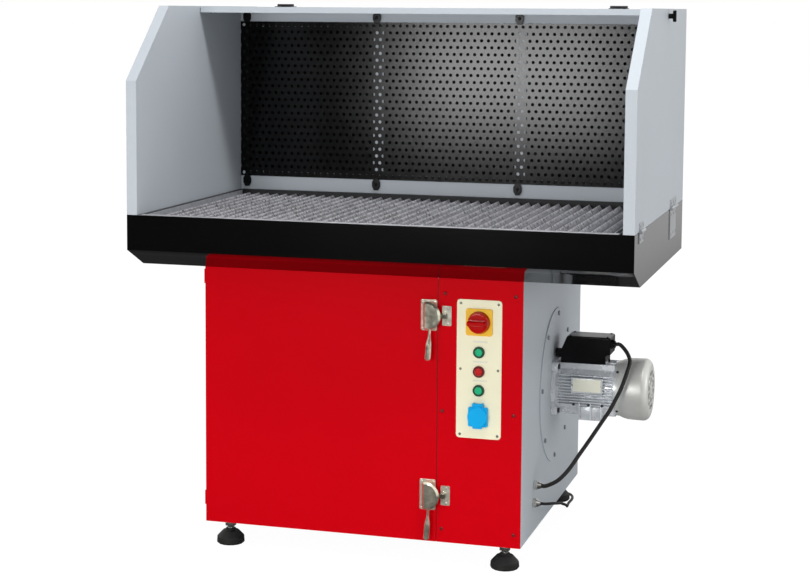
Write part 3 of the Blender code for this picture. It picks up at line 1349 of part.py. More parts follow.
def socket_lid_axis():
    return (PLATE_FRONT - GAP - SOCKET_PROUD,
            control_height(SOCKET_RISE) + SOCKET_HEIGHT / 2 + SOCKET_HINGE_RISE)


def socket_housing():
    back = PLATE_FRONT - GAP
    front = back - SOCKET_PROUD
    centre = (CONTROL_X, control_height(SOCKET_RISE))
    frame = soften(prism(rounded_rectangle(centre, SOCKET_WIDTH, SOCKET_HEIGHT, THIN_SHEET * 2, 2), "Y",
                         (front, back)), THIN_SHEET / 2)
    body = lathe([(back - SOCKET_PROUD / 2, SOCKET_BODY_RADIUS),
                  (back + SOCKET_BODY_DEPTH, SOCKET_BODY_RADIUS)], "Y", centre, 12)
    well = lathe([(front - OVERRUN, SOCKET_WELL_RADIUS), (front + SOCKET_WELL_DEPTH, SOCKET_WELL_RADIUS)],
                 "Y", centre, 12)
    axis_y, axis_z = socket_lid_axis()
    top = centre[1] + SOCKET_HEIGHT / 2
    ears = []
    for side in (-1, 1):
        inner = CONTROL_X + side * SOCKET_EAR_GAP / 2
        outer = inner + side * SOCKET_EAR_WIDTH
        span = (min(inner, outer), max(inner, outer))
        ears.append(block(span, (axis_y - LID_BARREL_RADIUS, back - THIN_SHEET),
                          (axis_z - LID_BARREL_RADIUS, axis_z + LID_BARREL_RADIUS)))
        ears.append(block(span, (axis_y + GAP, back - THIN_SHEET), (top - THIN_SHEET, axis_z)))
    fuse(frame, body, *ears)
    cut(frame, well)
    return finish(frame, "socket_housing", BLUE_PLASTIC)


def socket_lid():
    axis_y, axis_z = socket_lid_axis()
    centre = (CONTROL_X, control_height(SOCKET_RISE))
    back = axis_y - GAP
    front = back - LID_THICKNESS
    disc = soften(prism(circle(centre, LID_RADIUS, 20), "Y", (front, back)), LID_THICKNESS / 3, 1,
                  math.radians(60))
    half_tab = LID_TAB_WIDTH / 2
    tab = block((centre[0] - half_tab, centre[0] + half_tab), (front + LID_THICKNESS / 3, back),
                (centre[1] - LID_TAB_DROP, centre[1]))
    half = SOCKET_EAR_GAP / 2 - GAP
    arm = block((centre[0] - half, centre[0] + half), (front + LID_THICKNESS / 3, back),
                (centre[1] + LID_RADIUS / 2, axis_z))
    barrel = lathe([(centre[0] - half, LID_BARREL_RADIUS), (centre[0] + half, LID_BARREL_RADIUS)], "X",
                   (axis_y - THIN_SHEET, axis_z), 10)
    fuse(disc, tab, arm, barrel)
    return finish(disc, "socket_lid", BLUE_PLASTIC, (CONTROL_X, axis_y - THIN_SHEET, axis_z), True)


# Fan

def fan_bolt_places():
    places = []
    for eighth in range(8):
        angle = math.pi / 4 * eighth - FAN_BOLT_TURN
        places.append((FAN_Y + FAN_BOLT_CIRCLE * math.cos(angle),
                       FAN_HEIGHT + FAN_BOLT_CIRCLE * math.sin(angle)))
    return places


def scroll_outline():
    # the spiral grows from the tongue below the outlet, round by the front, to the outlet's roof
    points = []
    rear = CABINET_REAR - SHEET - GAP
    for step in range(SCROLL_STEPS + 1):
        part = step / SCROLL_STEPS
        angle = math.radians(55) - math.radians(325) * part
        radius = SCROLL_START_RADIUS + (SCROLL_END_RADIUS - SCROLL_START_RADIUS) * part
        points.append((FAN_Y + radius * math.cos(angle), FAN_HEIGHT + radius * math.sin(angle)))
    points.append((rear, FAN_HEIGHT + SCROLL_END_RADIUS))
    points.append((rear, points[0][1]))
    return points


def fan_housing():
    # the mounting plate outside the wall, bolted through it to the scroll inside
    right = CABINET_RIGHT - SHEET - GAP
    left = right - SCROLL_WIDTH
    centre = (FAN_Y, FAN_HEIGHT)
    casing = prism(scroll_outline(), "X", (left, right))
    hollow_outline = []
    for y, z in scroll_outline():
        reach = Vector((y - FAN_Y, z - FAN_HEIGHT))
        shrunk = reach * ((reach.length - SHEET) / reach.length)
        hollow_outline.append((FAN_Y + shrunk.x, FAN_HEIGHT + shrunk.y))
    rear = CABINET_REAR + OVERRUN
    roof = FAN_HEIGHT + SCROLL_END_RADIUS - SHEET
    sill = scroll_outline()[0][1] + SHEET
    hollow_outline[-2:] = [(rear, roof), (rear, sill)]
    hollow_outline[0] = (hollow_outline[0][0], sill)
    hollow_outline[-3] = (hollow_outline[-3][0], roof)
    hollow = prism(hollow_outline, "X", (left + SHEET, right - SHEET))
    inlet = lathe([(left - OVERRUN, SCROLL_INLET_RADIUS), (left + OVERRUN, SCROLL_INLET_RADIUS)], "X",
                  centre, 16)
    mount = lathe([(right - OVERRUN, FAN_HOLE_RADIUS), (right + OVERRUN, FAN_HOLE_RADIUS)], "X", centre,
                  24)
    cut(casing, hollow, inlet, mount)
    plate = lathe([(CABINET_RIGHT + GAP, FAN_PLATE_RADIUS), (FAN_OUTER, FAN_PLATE_RADIUS)], "X", centre,
                  32)
    hole = lathe([(CABINET_RIGHT - OVERRUN, SHAFT_RADIUS + PLAY),
                  (FAN_OUTER + OVERRUN, SHAFT_RADIUS + PLAY)], "X", centre, 12)
    cut(plate, hole)
    bolts = [lathe([(right - SHEET / 2, FAN_BOLT_RADIUS), (FAN_OUTER - SHEET / 2, FAN_BOLT_RADIUS)], "X",
                   place, 6) for place in fan_bolt_places()]
    fuse(casing, plate, *bolts)
    return finish(casing, "fan_housing", GREY_PAINT, smooth=True)


def impeller_blade(index, span):
    # a backward-swept plate between two radii
    angle = 2 * math.pi * index / IMPELLER_BLADES
    start = Vector((math.cos(angle), math.sin(angle))) * BLADE_INNER_RADIUS
    outer = IMPELLER_RADIUS - BLADE_THICKNESS
    end = Vector((math.cos(angle - BLADE_SWEEP), math.sin(angle - BLADE_SWEEP))) * outer
    run = (end - start).normalized()
    side = Vector((-run.y, run.x)) * BLADE_THICKNESS / 2
    corners = [start - side, end - side, end + side, start + side]
    return prism([(FAN_Y + point.x, FAN_HEIGHT + point.y) for point in corners], "X", span)


def fan_rotor():
    centre = (FAN_Y, FAN_HEIGHT)
    back = CABINET_RIGHT - IMPELLER_BACK
    mouth = back - IMPELLER_WIDTH
    plate = lathe([(back - SHEET, IMPELLER_RADIUS), (back, IMPELLER_RADIUS)], "X", centre, 20)
    ring = lathe([(mouth, IMPELLER_EYE_RADIUS), (mouth, IMPELLER_RADIUS),
                  (mouth + SHEET, IMPELLER_RADIUS), (mouth + SHEET, IMPELLER_EYE_RADIUS)],
                 "X", centre, 20, True)
    blades = [impeller_blade(index, (mouth + SHEET / 2, back - SHEET / 2))
              for index in range(IMPELLER_BLADES)]
    fan_end = SHIELD_START + SHIELD_LENGTH + COOLING_FAN_WIDTH + OVERRUN
    shaft = lathe([(back - IMPELLER_WIDTH / 2, SHAFT_RADIUS), (fan_end, SHAFT_RADIUS)], "X", centre, 12)
    hub = lathe([(back - IMPELLER_WIDTH / 3, 2 * SHAFT_RADIUS), (back - SHEET / 2, 2 * SHAFT_RADIUS)],
                "X", centre, 8)
    fan_start = fan_end - COOLING_FAN_WIDTH
    cooling_hub = lathe([(fan_start, 2 * SHAFT_RADIUS), (fan_end - SHEET, 2 * SHAFT_RADIUS)], "X", centre,
                        8)
    vanes = []
    for index in range(COOLING_FAN_BLADES):
        vane = block((fan_start + SHEET, fan_end - 2 * SHEET),
                     (FAN_Y + SHAFT_RADIUS * 3 / 2, FAN_Y + COOLING_FAN_RADIUS),
                     (FAN_HEIGHT - SHEET / 2, FAN_HEIGHT + SHEET / 2))
        pivot = Matrix.Translation((0, FAN_Y, FAN_HEIGHT))
        turn = Matrix.Rotation(2 * math.pi * index / COOLING_FAN_BLADES, 4, "X")
        vanes.append(moved(vane, pivot @ turn @ pivot.inverted()))
    fuse(plate, ring, hub, shaft, cooling_hub, *blades, *vanes)
    return finish(plate, "fan_rotor", CAST_ALUMINIUM, (back, FAN_Y, FAN_HEIGHT))


# Motor

def finned_outline():
    points = []
    step = 2 * math.pi / FIN_COUNT
    for index in range(FIN_COUNT):
        middle = step * index + step / 2
        from_top = abs((middle - math.pi / 2 + math.pi) % (2 * math.pi) - math.pi)
        tip = BODY_RADIUS if from_top < FIN_TOP_FREE else FIN_RADIUS
        for share, radius in ((-0.16, BODY_RADIUS), (-0.10, tip), (0.10, tip), (0.16, BODY_RADIUS)):
            angle = middle + share * step
            points.append((FAN_Y + radius * math.cos(angle), FAN_HEIGHT + radius * math.sin(angle)))
    return points


def motor_body():
    centre = (FAN_Y, FAN_HEIGHT)
    body = prism(finned_outline(), "X", (BODY_START - SHEET, SHIELD_START + SHEET))
    step = FLANGE_START + FLANGE_LENGTH / 2
    flange = lathe([(FLANGE_START, FLANGE_RADIUS), (step, FLANGE_RADIUS), (step, SHIELD_RADIUS),
                    (BODY_START, SHIELD_RADIUS)], "X", centre, 32)
    shield_end = SHIELD_START + SHIELD_LENGTH
    shield = lathe([(SHIELD_START, SHIELD_RADIUS), (shield_end, SHIELD_RADIUS)], "X", centre, 24)
    lugs = []
    for quarter in range(4):
        angle = math.pi / 4 + quarter * math.pi / 2
        place = (FAN_Y + LUG_CIRCLE * math.cos(angle), FAN_HEIGHT + LUG_CIRCLE * math.sin(angle))
        lugs.append(lathe([(FLANGE_START, LUG_RADIUS), (FLANGE_START + LUG_LENGTH, LUG_RADIUS)], "X",
                          place, 12))
    pad_middle = FLANGE_START + TERMINAL_START + (TERMINAL_LENGTH - TERMINAL_NOTCH_RUN) / 2
    pad = block((pad_middle - TERMINAL_PAD_LENGTH / 2, pad_middle + TERMINAL_PAD_LENGTH / 2),
                (FAN_Y - TERMINAL_PAD_WIDTH / 2, FAN_Y + TERMINAL_PAD_WIDTH / 2),
                (FAN_HEIGHT + BODY_RADIUS / 2, FAN_HEIGHT + PAD_TOP_RISE))
    fuse(body, flange, shield, pad, *lugs)
    bore = lathe([(FLANGE_START - OVERRUN, SHAFT_RADIUS + GAP),
                  (shield_end + OVERRUN, SHAFT_RADIUS + GAP)], "X", centre, 12)
    cut(body, bore)
    return finish(body, "motor_body", CAST_ALUMINIUM, smooth=True)


def cowl_profile(offset):
    # outside of the fan cowl from its mouth to the rounded end, moved inwards by an offset
    end = COWL_START + COWL_LENGTH - offset
    radius = COWL_RADIUS - offset
    collar_end = COWL_START + COWL_OVERLAP
    points = [(COWL_START, COWL_MOUTH_RADIUS - offset), (collar_end, COWL_MOUTH_RADIUS - offset),
              (COWL_START + COWL_LENGTH / 3, radius - THIN_SHEET), (end - COWL_ROUND, radius)]
    for step in range(1, 4):
        angle = math.pi / 2 * step / 3
        points.append((end - COWL_ROUND + COWL_ROUND * math.sin(angle),
                       radius - COWL_ROUND + COWL_ROUND * math.cos(angle)))
    return points


def fan_cowl():
    centre = (FAN_Y, FAN_HEIGHT)
    cowl = lathe(cowl_profile(0.0), "X", centre, 24)
    inner = cowl_profile(COWL_WALL)
    inner[0] = (COWL_START - OVERRUN, inner[0][1])
    hollow = lathe(inner, "X", centre, 24)
    slots = []
    end = COWL_START + COWL_LENGTH
    for index in range(COWL_SLOTS):
        slot = block((end - 2 * COWL_WALL - SHEET, end + OVERRUN),
                     (FAN_Y + SHAFT_RADIUS, FAN_Y + COWL_RADIUS - COWL_ROUND - COWL_SLOT_WIDTH),
                     (FAN_HEIGHT - COWL_SLOT_WIDTH / 2, FAN_HEIGHT + COWL_SLOT_WIDTH / 2))
        pivot = Matrix.Translation((0, FAN_Y, FAN_HEIGHT))
        turn = Matrix.Rotation(2 * math.pi * index / COWL_SLOTS, 4, "X")
        slots.append(moved(slot, pivot @ turn @ pivot.inverted()))
    cut(cowl, hollow, *slots)
    return finish(cowl, "fan_cowl", COWL_PAINT, smooth=True)


def terminal_box():
    # its skirt hangs down on both sides of the motor's pad, which stands in a channel
    pad_top = FAN_HEIGHT + PAD_TOP_RISE
    low = pad_top - TERMINAL_SKIRT
    high = low + TERMINAL_HEIGHT
    left = FLANGE_START + TERMINAL_START
    right = left + TERMINAL_LENGTH
    outline = [(left, low), (left, low + TERMINAL_SLOPE_SILL), (left + TERMINAL_SLOPE_RUN, high),
               (right, high),
               (right, low + TERMINAL_NOTCH_RISE),
               (right - TERMINAL_NOTCH_RUN, low + TERMINAL_NOTCH_RISE), (right - TERMINAL_NOTCH_RUN, low)]
    body = soften(prism(outline, "Y", (FAN_Y - TERMINAL_WIDTH / 2, FAN_Y + TERMINAL_WIDTH / 2)),
                  TERMINAL_EDGE, 2)
    half = TERMINAL_PAD_WIDTH / 2 + PLAY
    channel = block((left - OVERRUN, right + OVERRUN), (FAN_Y - half, FAN_Y + half),
                    (low - OVERRUN, pad_top + GAP))
    cut(body, channel)
    plug = lathe([(left - BLANKING_PLUG_LENGTH, BLANKING_PLUG_RADIUS),
                  (left + TERMINAL_EDGE, BLANKING_PLUG_RADIUS)], "X", BLANKING_PLUG_PLACE, 6)
    fuse(body, plug, gland("box", MOTOR_CABLE_DIAMETER))
    return finish(body, "terminal_box", BLACK_PLASTIC)


# Glands, cables, coil and plug

def gland(cable, diameter):
    wall, y, z = gland_places()[cable]
    start = wall + GAP
    nut = lathe([(start, GLAND_NUT_RADIUS), (start + GLAND_NUT_LENGTH, GLAND_NUT_RADIUS)], "X", (y, z), 6)
    end = start + gland_length(cable)
    nose = lathe([(start + GLAND_NUT_LENGTH / 2, GLAND_NOSE_RADIUS),
                  (start + GLAND_NUT_LENGTH * 3 / 2, GLAND_NOSE_RADIUS),
                  (end, diameter / 2 + THIN_SHEET)], "X", (y, z), 12)
    thread = lathe([(wall - GLAND_THREAD_LENGTH, GLAND_THREAD_RADIUS),
                    (start + GLAND_NUT_LENGTH / 2, GLAND_THREAD_RADIUS)], "X", (y, z), 12)
    return fuse(nut, nose, thread)


def wall_glands():
    finish(gland("motor", MOTOR_CABLE_DIAMETER), "motor_gland", BRIGHT_STEEL)
    finish(gland("mains", MAINS_CORD_DIAMETER), "mains_gland", BRIGHT_STEEL)


def gland_mouth(cable):
    wall, y, z = gland_places()[cable]
    return Vector((wall + GAP + gland_length(cable) + CORD_END_PLAY, y, z))


def smooth_path(points, spacing):
    # the first and last stretches stay straight, and between them the points
    # lie evenly along a Catmull-Rom curve through the chosen ones
    dense = []
    for before, start, end, after in zip(points, points[1:], points[2:], points[3:]):
        for step in range(CURVE_STEPS):
            t = step / CURVE_STEPS
            slope = end - before
            bend = 2 * before - 5 * start + 4 * end - after
            twist = 3 * start - before - 3 * end + after
            dense.append((2 * start + slope * t + bend * t * t + twist * t * t * t) / 2)
    dense.append(points[-2])
    return [points[0]] + even_points(dense, spacing) + [points[-1]]


def even_points(dense, spacing):
    lengths = [0.0]
    for start, end in zip(dense, dense[1:]):
        lengths.append(lengths[-1] + (end - start).length)
    count = max(2, round(lengths[-1] / spacing))
    result = []
    index = 0
    for step in range(count + 1):
        target = lengths[-1] * step / count
        while index < len(dense) - 2 and lengths[index + 1] < target:
            index += 1
        share = (target - lengths[index]) / (lengths[index + 1] - lengths[index])
        result.append(dense[index].lerp(dense[index + 1], share))
    return result


def path_length(points):
    return sum((end - start).length for start, end in zip(points, points[1:]))


def tube(points, diameter, name, look, resolution):
    curve = bpy.data.curves.new(name, "CURVE")
    curve.dimensions = "3D"
    curve.bevel_depth = diameter / 2
    curve.bevel_resolution = resolution
    curve.use_fill_caps = True
    spline = curve.splines.new("POLY")
    spline.points.add(len(points) - 1)
    for place, point in zip(spline.points, points):
        place.co = (*point, 1.0)
    item = bpy.data.objects.new(name, curve)
    bpy.context.collection.objects.link(item)
    evaluated = item.evaluated_get(bpy.context.evaluated_depsgraph_get())
    skin = bpy.data.meshes.new_from_object(evaluated)
    bpy.data.objects.remove(item, do_unlink=True)
    shape = bpy.data.objects.new(name, skin)
    bpy.context.collection.objects.link(shape)
    return finish(shape, name, look, smooth=True)


def motor_cable_route():
    start = gland_mouth("box")
    end = gland_mouth("motor")
    chosen = [(0.5560, 0.0445, 0.5140), (0.5679, 0.0300, 0.4983), (0.5732, 0.0175, 0.4863),
              (0.5710, 0.0000, 0.4708), (0.5659, -0.0150, 0.4500), (0.5594, -0.0225, 0.4280),
              (0.5493, -0.0290, 0.4053), (0.5315, -0.0440, 0.3674), (0.5125, -0.0600, 0.3367),
              (0.4951, -0.0780, 0.3079), (0.4782, -0.0980, 0.2811), (0.4618, -0.1200, 0.2552),
              (0.4474, -0.1390, 0.2318), (0.4340, -0.1560, 0.2155), (0.4186, -0.1705, 0.2020)]
    lead = Vector((MOTOR_CABLE_DIAMETER, 0, 0))
    return [start, start + lead] + [Vector(point) for point in chosen] + [end + lead, end]


def mains_cord_route():
    start = gland_mouth("mains")
    chosen = [(0.4060, -0.1890, 0.1480), (0.4200, -0.1760, 0.1460), (0.4261, -0.1500, 0.1407),
              (0.4225, -0.1100, 0.1285), (0.4169, -0.0600, 0.1135), (0.4096, 0.0000, 0.0957),
              (0.3972, 0.0800, 0.0721), (0.3835, 0.1600, 0.0498), (0.3698, 0.2400, 0.0270),
              (0.3590, 0.3000, 0.0075), (0.3545, 0.3480, 0.0042), (0.3555, 0.3950, 0.0042),
              (0.3460, 0.4320, 0.0042), (0.3210, 0.4560, 0.0042), (0.2700, 0.4680, 0.0042),
              (0.2000, 0.4720, 0.0042), (0.1500, 0.4790, 0.0042)]
    return [start, start + Vector((MAINS_CORD_DIAMETER * 3 / 2, 0, 0))] + [Vector(point)
                                                                           for point in chosen]


def eased(share):
    limited = min(max(share, 0.0), 1.0)
    return limited * limited * (3 - 2 * limited)


def coil_path():
    # the bottom layer winds inwards and climbs in a half turn, and the top one winds outwards
    # again, where its last half turn rises to the plug's height
    centre = Vector((*COIL_CENTRE, 0.0))
    steps = COIL_POINTS_PER_TURN
    layer_turns = COIL_TURNS_PER_LAYER
    outer = COIL_RADIUS + COIL_TURN_PITCH * layer_turns / 2
    low = MAINS_CORD_DIAMETER / 2 + COIL_FLOOR_PLAY
    plug_lift = PLUG_RADIUS + COIL_FLOOR_PLAY - low - COIL_LAYER_PITCH
    points = []
    total = round(2 * layer_turns * steps)
    for step in range(total + 1):
        turn = step / steps
        radius = outer - COIL_TURN_PITCH * min(turn, 2 * layer_turns - turn)
        climb = eased((turn - layer_turns) / CLIMB_TURNS + 1 / 2)
        lift = eased((turn - 2 * layer_turns) / CLIMB_TURNS + 1)
        rise = COIL_LAYER_PITCH * climb + plug_lift * lift
        angle = 2 * math.pi * turn
        points.append(centre + Vector((radius * math.cos(angle), radius * math.sin(angle), low + rise)))
    return points


def coil_with_ends():
    points = coil_path()
    start_run = (points[0] - points[1]).normalized() * MAINS_CORD_DIAMETER
    start_run.z = 0.0
    end_run = (points[-1] - points[-2]).normalized() * MAINS_CORD_DIAMETER
    return [points[0] + start_run] + points + [points[-1] + end_run]


def least_self_gap(points, diameter):
    # dense samples, compared with those more than half a turn away along the tube
    apart = COIL_POINTS_PER_TURN // 2
    least = math.inf
    for index, point in enumerate(points):
        for other in points[index + apart:]:
            least = min(least, (point - other).length - diameter)
    return least


def mains_plug():
    # lies beside the coil, in line with the cord's end
    points = coil_with_ends()
    along = points[-1] - points[-2]
    heading = math.atan2(along.y, along.x)
    start = points[-1] + along.normalized() * GAP
    neck = lathe([(0.0, PLUG_NECK_RADIUS), (PLUG_NECK_LENGTH, PLUG_NECK_RADIUS + THIN_SHEET),
                  (PLUG_NECK_LENGTH + THIN_SHEET, PLUG_RADIUS * 2 / 3),
                  (PLUG_LENGTH / 2, PLUG_RADIUS), (PLUG_LENGTH, PLUG_RADIUS)], "X", (0.0, 0.0), 16)
    pins = []
    for side in (-1, 1):
        pins.append(lathe([(PLUG_LENGTH - THIN_SHEET, PLUG_PIN_RADIUS),
                           (PLUG_LENGTH + PLUG_PIN_LENGTH, PLUG_PIN_RADIUS)],
                          "X", (side * PLUG_PIN_SPREAD / 2, 0.0), 8))
    fuse(neck, *pins)
    moved(neck, Matrix.Translation(start) @ Matrix.Rotation(heading, 4, "Z"))
    return finish(neck, "mains_plug", BLACK_RUBBER, smooth=True)


def cables():
    motor = smooth_path(motor_cable_route(), MOTOR_CABLE_DIAMETER / CORD_POINTS_PER_DIAMETER)
    tube(motor, MOTOR_CABLE_DIAMETER, "motor_cable", BLACK_RUBBER, 2)
    coil = coil_with_ends()
    tube(coil, MAINS_CORD_DIAMETER, "mains_coil", BLACK_RUBBER, 1)
    join = coil[0] + (coil[0] - coil[1]).normalized() * GAP
    approach = join + (coil[0] - coil[1]).normalized() * MAINS_CORD_DIAMETER * 2
    mains = smooth_path(mains_cord_route() + [approach, join],
                        MAINS_CORD_DIAMETER / CORD_POINTS_PER_DIAMETER)
    tube(mains, MAINS_CORD_DIAMETER, "mains_cord", BLACK_RUBBER, 2)
    print("motor cable length", round(path_length(motor), 3), "points", len(motor))
    print("mains cord length", round(path_length(mains), 3), "points", len(mains), "and in its coil",
          round(path_length(coil), 3))
    print("coil's least self gap", round(least_self_gap(coil, MAINS_CORD_DIAMETER), 5))


def build():
    clear_scene()
    cabinet_shell()
    inner_walls()
    for side in ("left", "right"):
        filter_cartridge(side)
    dust_bin()
    for corner, centre in foot_places().items():
        foot(corner, centre)
    tray()
    grate_frame()
    for index, side in enumerate(("left", "middle", "right")):
        grate_panel("grate_panel_" + side, index)
    rear_plenum()
    for index, side in enumerate(("left", "middle", "right")):
        perforated_panel("perforated_panel_" + side, index)
    for name, centre in clip_places().items():
        turn_clip(name, centre)
    wings_and_knobs()
    roof_flap()
    door()
    for height, level in zip(LATCH_HEIGHTS, ("upper", "lower")):
        latch_base("latch_base_" + level, height)
        latch_keeper("latch_keeper_" + level, height)
        latch_lever("latch_lever_" + level, height)
        latch_claw("latch_claw_" + level, height)
    control_cover()
    control_plate()
    switch_plate()
    switch_knob()
    for name, rise, look in zip(("button_start", "button_stop", "button_light"), BUTTON_RISES,
                                (GREEN_PLASTIC, RED_PLASTIC, GREEN_PLASTIC)):
        push_button(name, rise, look)
    socket_housing()
    socket_lid()
    fan_housing()
    fan_rotor()
    motor_body()
    fan_cowl()
    terminal_box()
    wall_glands()
    cables()
    mains_plug()


build()
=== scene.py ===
# %% [markdown]
# # A downdraft table for grinding dust
# This notebook dresses a table that draws dust down through its grate and back through its
# rear wall. The solids are already made and stay where they are. Each cell adds one thing,
# a finish, a piece of sheet metal or a set of small fittings, and says why it is made so.

import json
import math

import bmesh
import bpy
from mathutils import Matrix, Vector

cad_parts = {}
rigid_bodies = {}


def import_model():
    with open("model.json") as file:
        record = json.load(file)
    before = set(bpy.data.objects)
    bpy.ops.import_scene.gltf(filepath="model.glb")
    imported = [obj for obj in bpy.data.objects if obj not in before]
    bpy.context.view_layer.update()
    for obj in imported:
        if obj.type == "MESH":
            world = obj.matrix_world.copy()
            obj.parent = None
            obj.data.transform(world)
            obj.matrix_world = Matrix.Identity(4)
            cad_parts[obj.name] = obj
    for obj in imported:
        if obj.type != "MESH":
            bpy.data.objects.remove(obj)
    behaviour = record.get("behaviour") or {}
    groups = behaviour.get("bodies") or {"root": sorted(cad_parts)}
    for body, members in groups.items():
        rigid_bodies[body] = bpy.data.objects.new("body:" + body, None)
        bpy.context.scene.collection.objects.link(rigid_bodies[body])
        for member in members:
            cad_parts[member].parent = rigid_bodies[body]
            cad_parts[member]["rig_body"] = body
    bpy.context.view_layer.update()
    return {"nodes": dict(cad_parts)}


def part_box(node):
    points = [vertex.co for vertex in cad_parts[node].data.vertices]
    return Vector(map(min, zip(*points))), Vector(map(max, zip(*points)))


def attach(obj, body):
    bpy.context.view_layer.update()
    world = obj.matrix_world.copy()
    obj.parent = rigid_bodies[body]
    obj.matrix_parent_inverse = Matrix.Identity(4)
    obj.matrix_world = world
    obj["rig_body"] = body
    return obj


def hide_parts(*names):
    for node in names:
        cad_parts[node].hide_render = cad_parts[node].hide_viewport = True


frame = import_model()
nodes = frame["nodes"]

# %% [markdown]
# ## Camera
# The camera stands to the right of the table, a little above its work surface, and looks
# slightly down. It could stand nearer with a short lens, but the long one keeps the table's
# edges almost parallel. The lens shift only moves the frame, as a view camera does, and
# keeps the uprights from leaning.

# %% Camera
CAMERA_PLACE = (1.2931, -4.6689, 1.4037)
CAMERA_YAW = 0.2849
CAMERA_PITCH = 0.0973
CAMERA_ROLL = 0.0064
LENS = 80.72
LENS_SHIFT = (0.0145, -0.1239)
SENSOR_WIDTH = 36.0
FARTHEST_SEEN = 60.0


def put_in_scene(name, data):
    """A new object with this data, linked to the scene."""
    item = bpy.data.objects.new(name, data)
    bpy.context.scene.collection.objects.link(item)
    return item


def camera_turn(yaw, pitch, roll):
    ahead = Vector((-math.sin(yaw) * math.cos(pitch), math.cos(yaw) * math.cos(pitch), -math.sin(pitch)))
    right = Vector((math.cos(yaw), math.sin(yaw), 0.0))
    up = right.cross(ahead)
    across = right * math.cos(roll) + up * math.sin(roll)
    above = up * math.cos(roll) - right * math.sin(roll)
    return Matrix((across, above, -ahead)).transposed().to_4x4()


camera_data = bpy.data.cameras.new("view")
camera_data.lens = LENS
camera_data.sensor_width = SENSOR_WIDTH
camera_data.shift_x, camera_data.shift_y = LENS_SHIFT
camera_data.clip_end = FARTHEST_SEEN
camera = put_in_scene("view", camera_data)
camera.matrix_world = Matrix.Translation(CAMERA_PLACE) @ camera_turn(CAMERA_YAW, CAMERA_PITCH, CAMERA_ROLL)
bpy.context.scene.camera = camera
bpy.context.scene.view_settings.view_transform = "Standard"
print("camera at", camera.location)

# %% [markdown]
# ## Finishes
# Every finish is a small node tree. One flat colour would do for a toy, but paint and metal
# vary from place to place, so a soft noise moves the colour and the roughness a little. A
# fine noise bends the light, as the skin of a powder coat does. Both read Object
# coordinates, so that the pattern stays on the piece when the piece moves.

# %% Helpers for finishes
BODY_OF = {name: item["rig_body"] for name, item in nodes.items()}
NOISE_STOPS = (0.3, 0.7)
CLOUD_DETAIL = 6.0
GRAIN_DETAIL = 2.0
COAT_ROUGHNESS = 0.08
LEAST_ROUGHNESS = 0.02
DENT_DEPTH = 0.001


def colour_of(red, green, blue):
    """A colour as a paint chart gives it, from 0 to 255, in the renderer's linear light."""
    def linear(value):
        share = value / 255
        return share / 12.92 if share <= 0.04045 else ((share + 0.055) / 1.055) ** 2.4
    return (linear(red), linear(green), linear(blue), 1.0)


def shaded(colour, share):
    return tuple(channel * share for channel in colour[:3]) + (1.0,)


def node_in(tree, kind, values=(), links=(), **settings):
    """A node with its settings, its fixed inputs and the sockets that feed it."""
    node = tree.nodes.new(kind)
    for key, value in settings.items():
        setattr(node, key, value)
    for socket, value in values:
        node.inputs[socket].default_value = value
    for socket, source in links:
        tree.links.new(source, node.inputs[socket])
    return node


def map_range(tree, value, source, target, interpolation="LINEAR"):
    """The value carried over from one span of numbers to another."""
    node = node_in(tree, "ShaderNodeMapRange", (
        ("From Min", source[0]), ("From Max", source[1]), ("To Min", target[0]), ("To Max", target[1])),
        (("Value", value),), interpolation_type=interpolation)
    return node.outputs["Result"]


def noise_in(tree, place, scale, detail):
    noise = node_in(tree, "ShaderNodeTexNoise", (("Scale", scale), ("Detail", detail)), (("Vector", place),))
    return noise.outputs["Fac"]


def shade_valleys(tree, place, painted, low, high, colour):
    """Painted shade in the valleys of a folded sheet, from the height low up to the height high."""
    parts = node_in(tree, "ShaderNodeSeparateXYZ", links=(("Vector", place),))
    height = map_range(tree, parts.outputs["Z"], (low, high), (0.0, 1.0))
    blend = node_in(tree, "ShaderNodeMix", (("A", colour),), (("Factor", height), ("B", painted)),
                    data_type="RGBA")
    return blend.outputs["Result"]


def new_finish(name, colour, roughness, metallic=0.0, spread=0.06, patch=4.0, grain=900.0,
               bump=0.02, rough_spread=0.06, coat=0.0, stretch=(1.0, 1.0, 1.0), specular=0.5, valley_shade=None):
    finish = bpy.data.materials.new(name)
    finish.use_nodes = True
    tree = finish.node_tree
    shader = tree.nodes["Principled BSDF"]
    for socket, value in (("Metallic", metallic), ("Specular IOR Level", specular),
                          ("Coat Weight", coat), ("Coat Roughness", COAT_ROUGHNESS)):
        shader.inputs[socket].default_value = value
    place = node_in(tree, "ShaderNodeTexCoord").outputs["Object"]
    mapped = node_in(tree, "ShaderNodeMapping", (("Scale", stretch),), (("Vector", place),)).outputs["Vector"]
    clouds = noise_in(tree, mapped, patch, CLOUD_DETAIL)
    fine = noise_in(tree, mapped, grain, GRAIN_DETAIL)
    ramp = node_in(tree, "ShaderNodeValToRGB", links=(("Fac", clouds),))
    for stop, position, share in zip(ramp.color_ramp.elements, NOISE_STOPS, (1.0 - spread, 1.0 + spread)):
        stop.position = position
        stop.color = shaded(colour, share)
    painted = ramp.outputs["Color"]
    # painted shade: the colour darkens towards the bottom of a folded sheet's valleys
    if valley_shade:
        painted = shade_valleys(tree, place, painted, *valley_shade)
    span = (max(roughness - rough_spread, LEAST_ROUGHNESS), min(roughness + rough_spread, 1.0))
    rough = map_range(tree, clouds, (0.0, 1.0), span)
    dents = node_in(tree, "ShaderNodeBump", (("Strength", bump), ("Distance", DENT_DEPTH)),
                    (("Height", fine),))
    for socket, source in (("Base Color", painted), ("Roughness", rough),
                           ("Normal", dents.outputs["Normal"])):
        tree.links.new(source, shader.inputs[socket])
    return finish


# %% [markdown]
# The cabinet and the hood are powder-coated, in light grey and red, and the tray and the
# rear wall are black and glossier. A paint's shine could come from a clear coat over it,
# but a low roughness alone gives the soft streaks that lamps leave on such sheet.

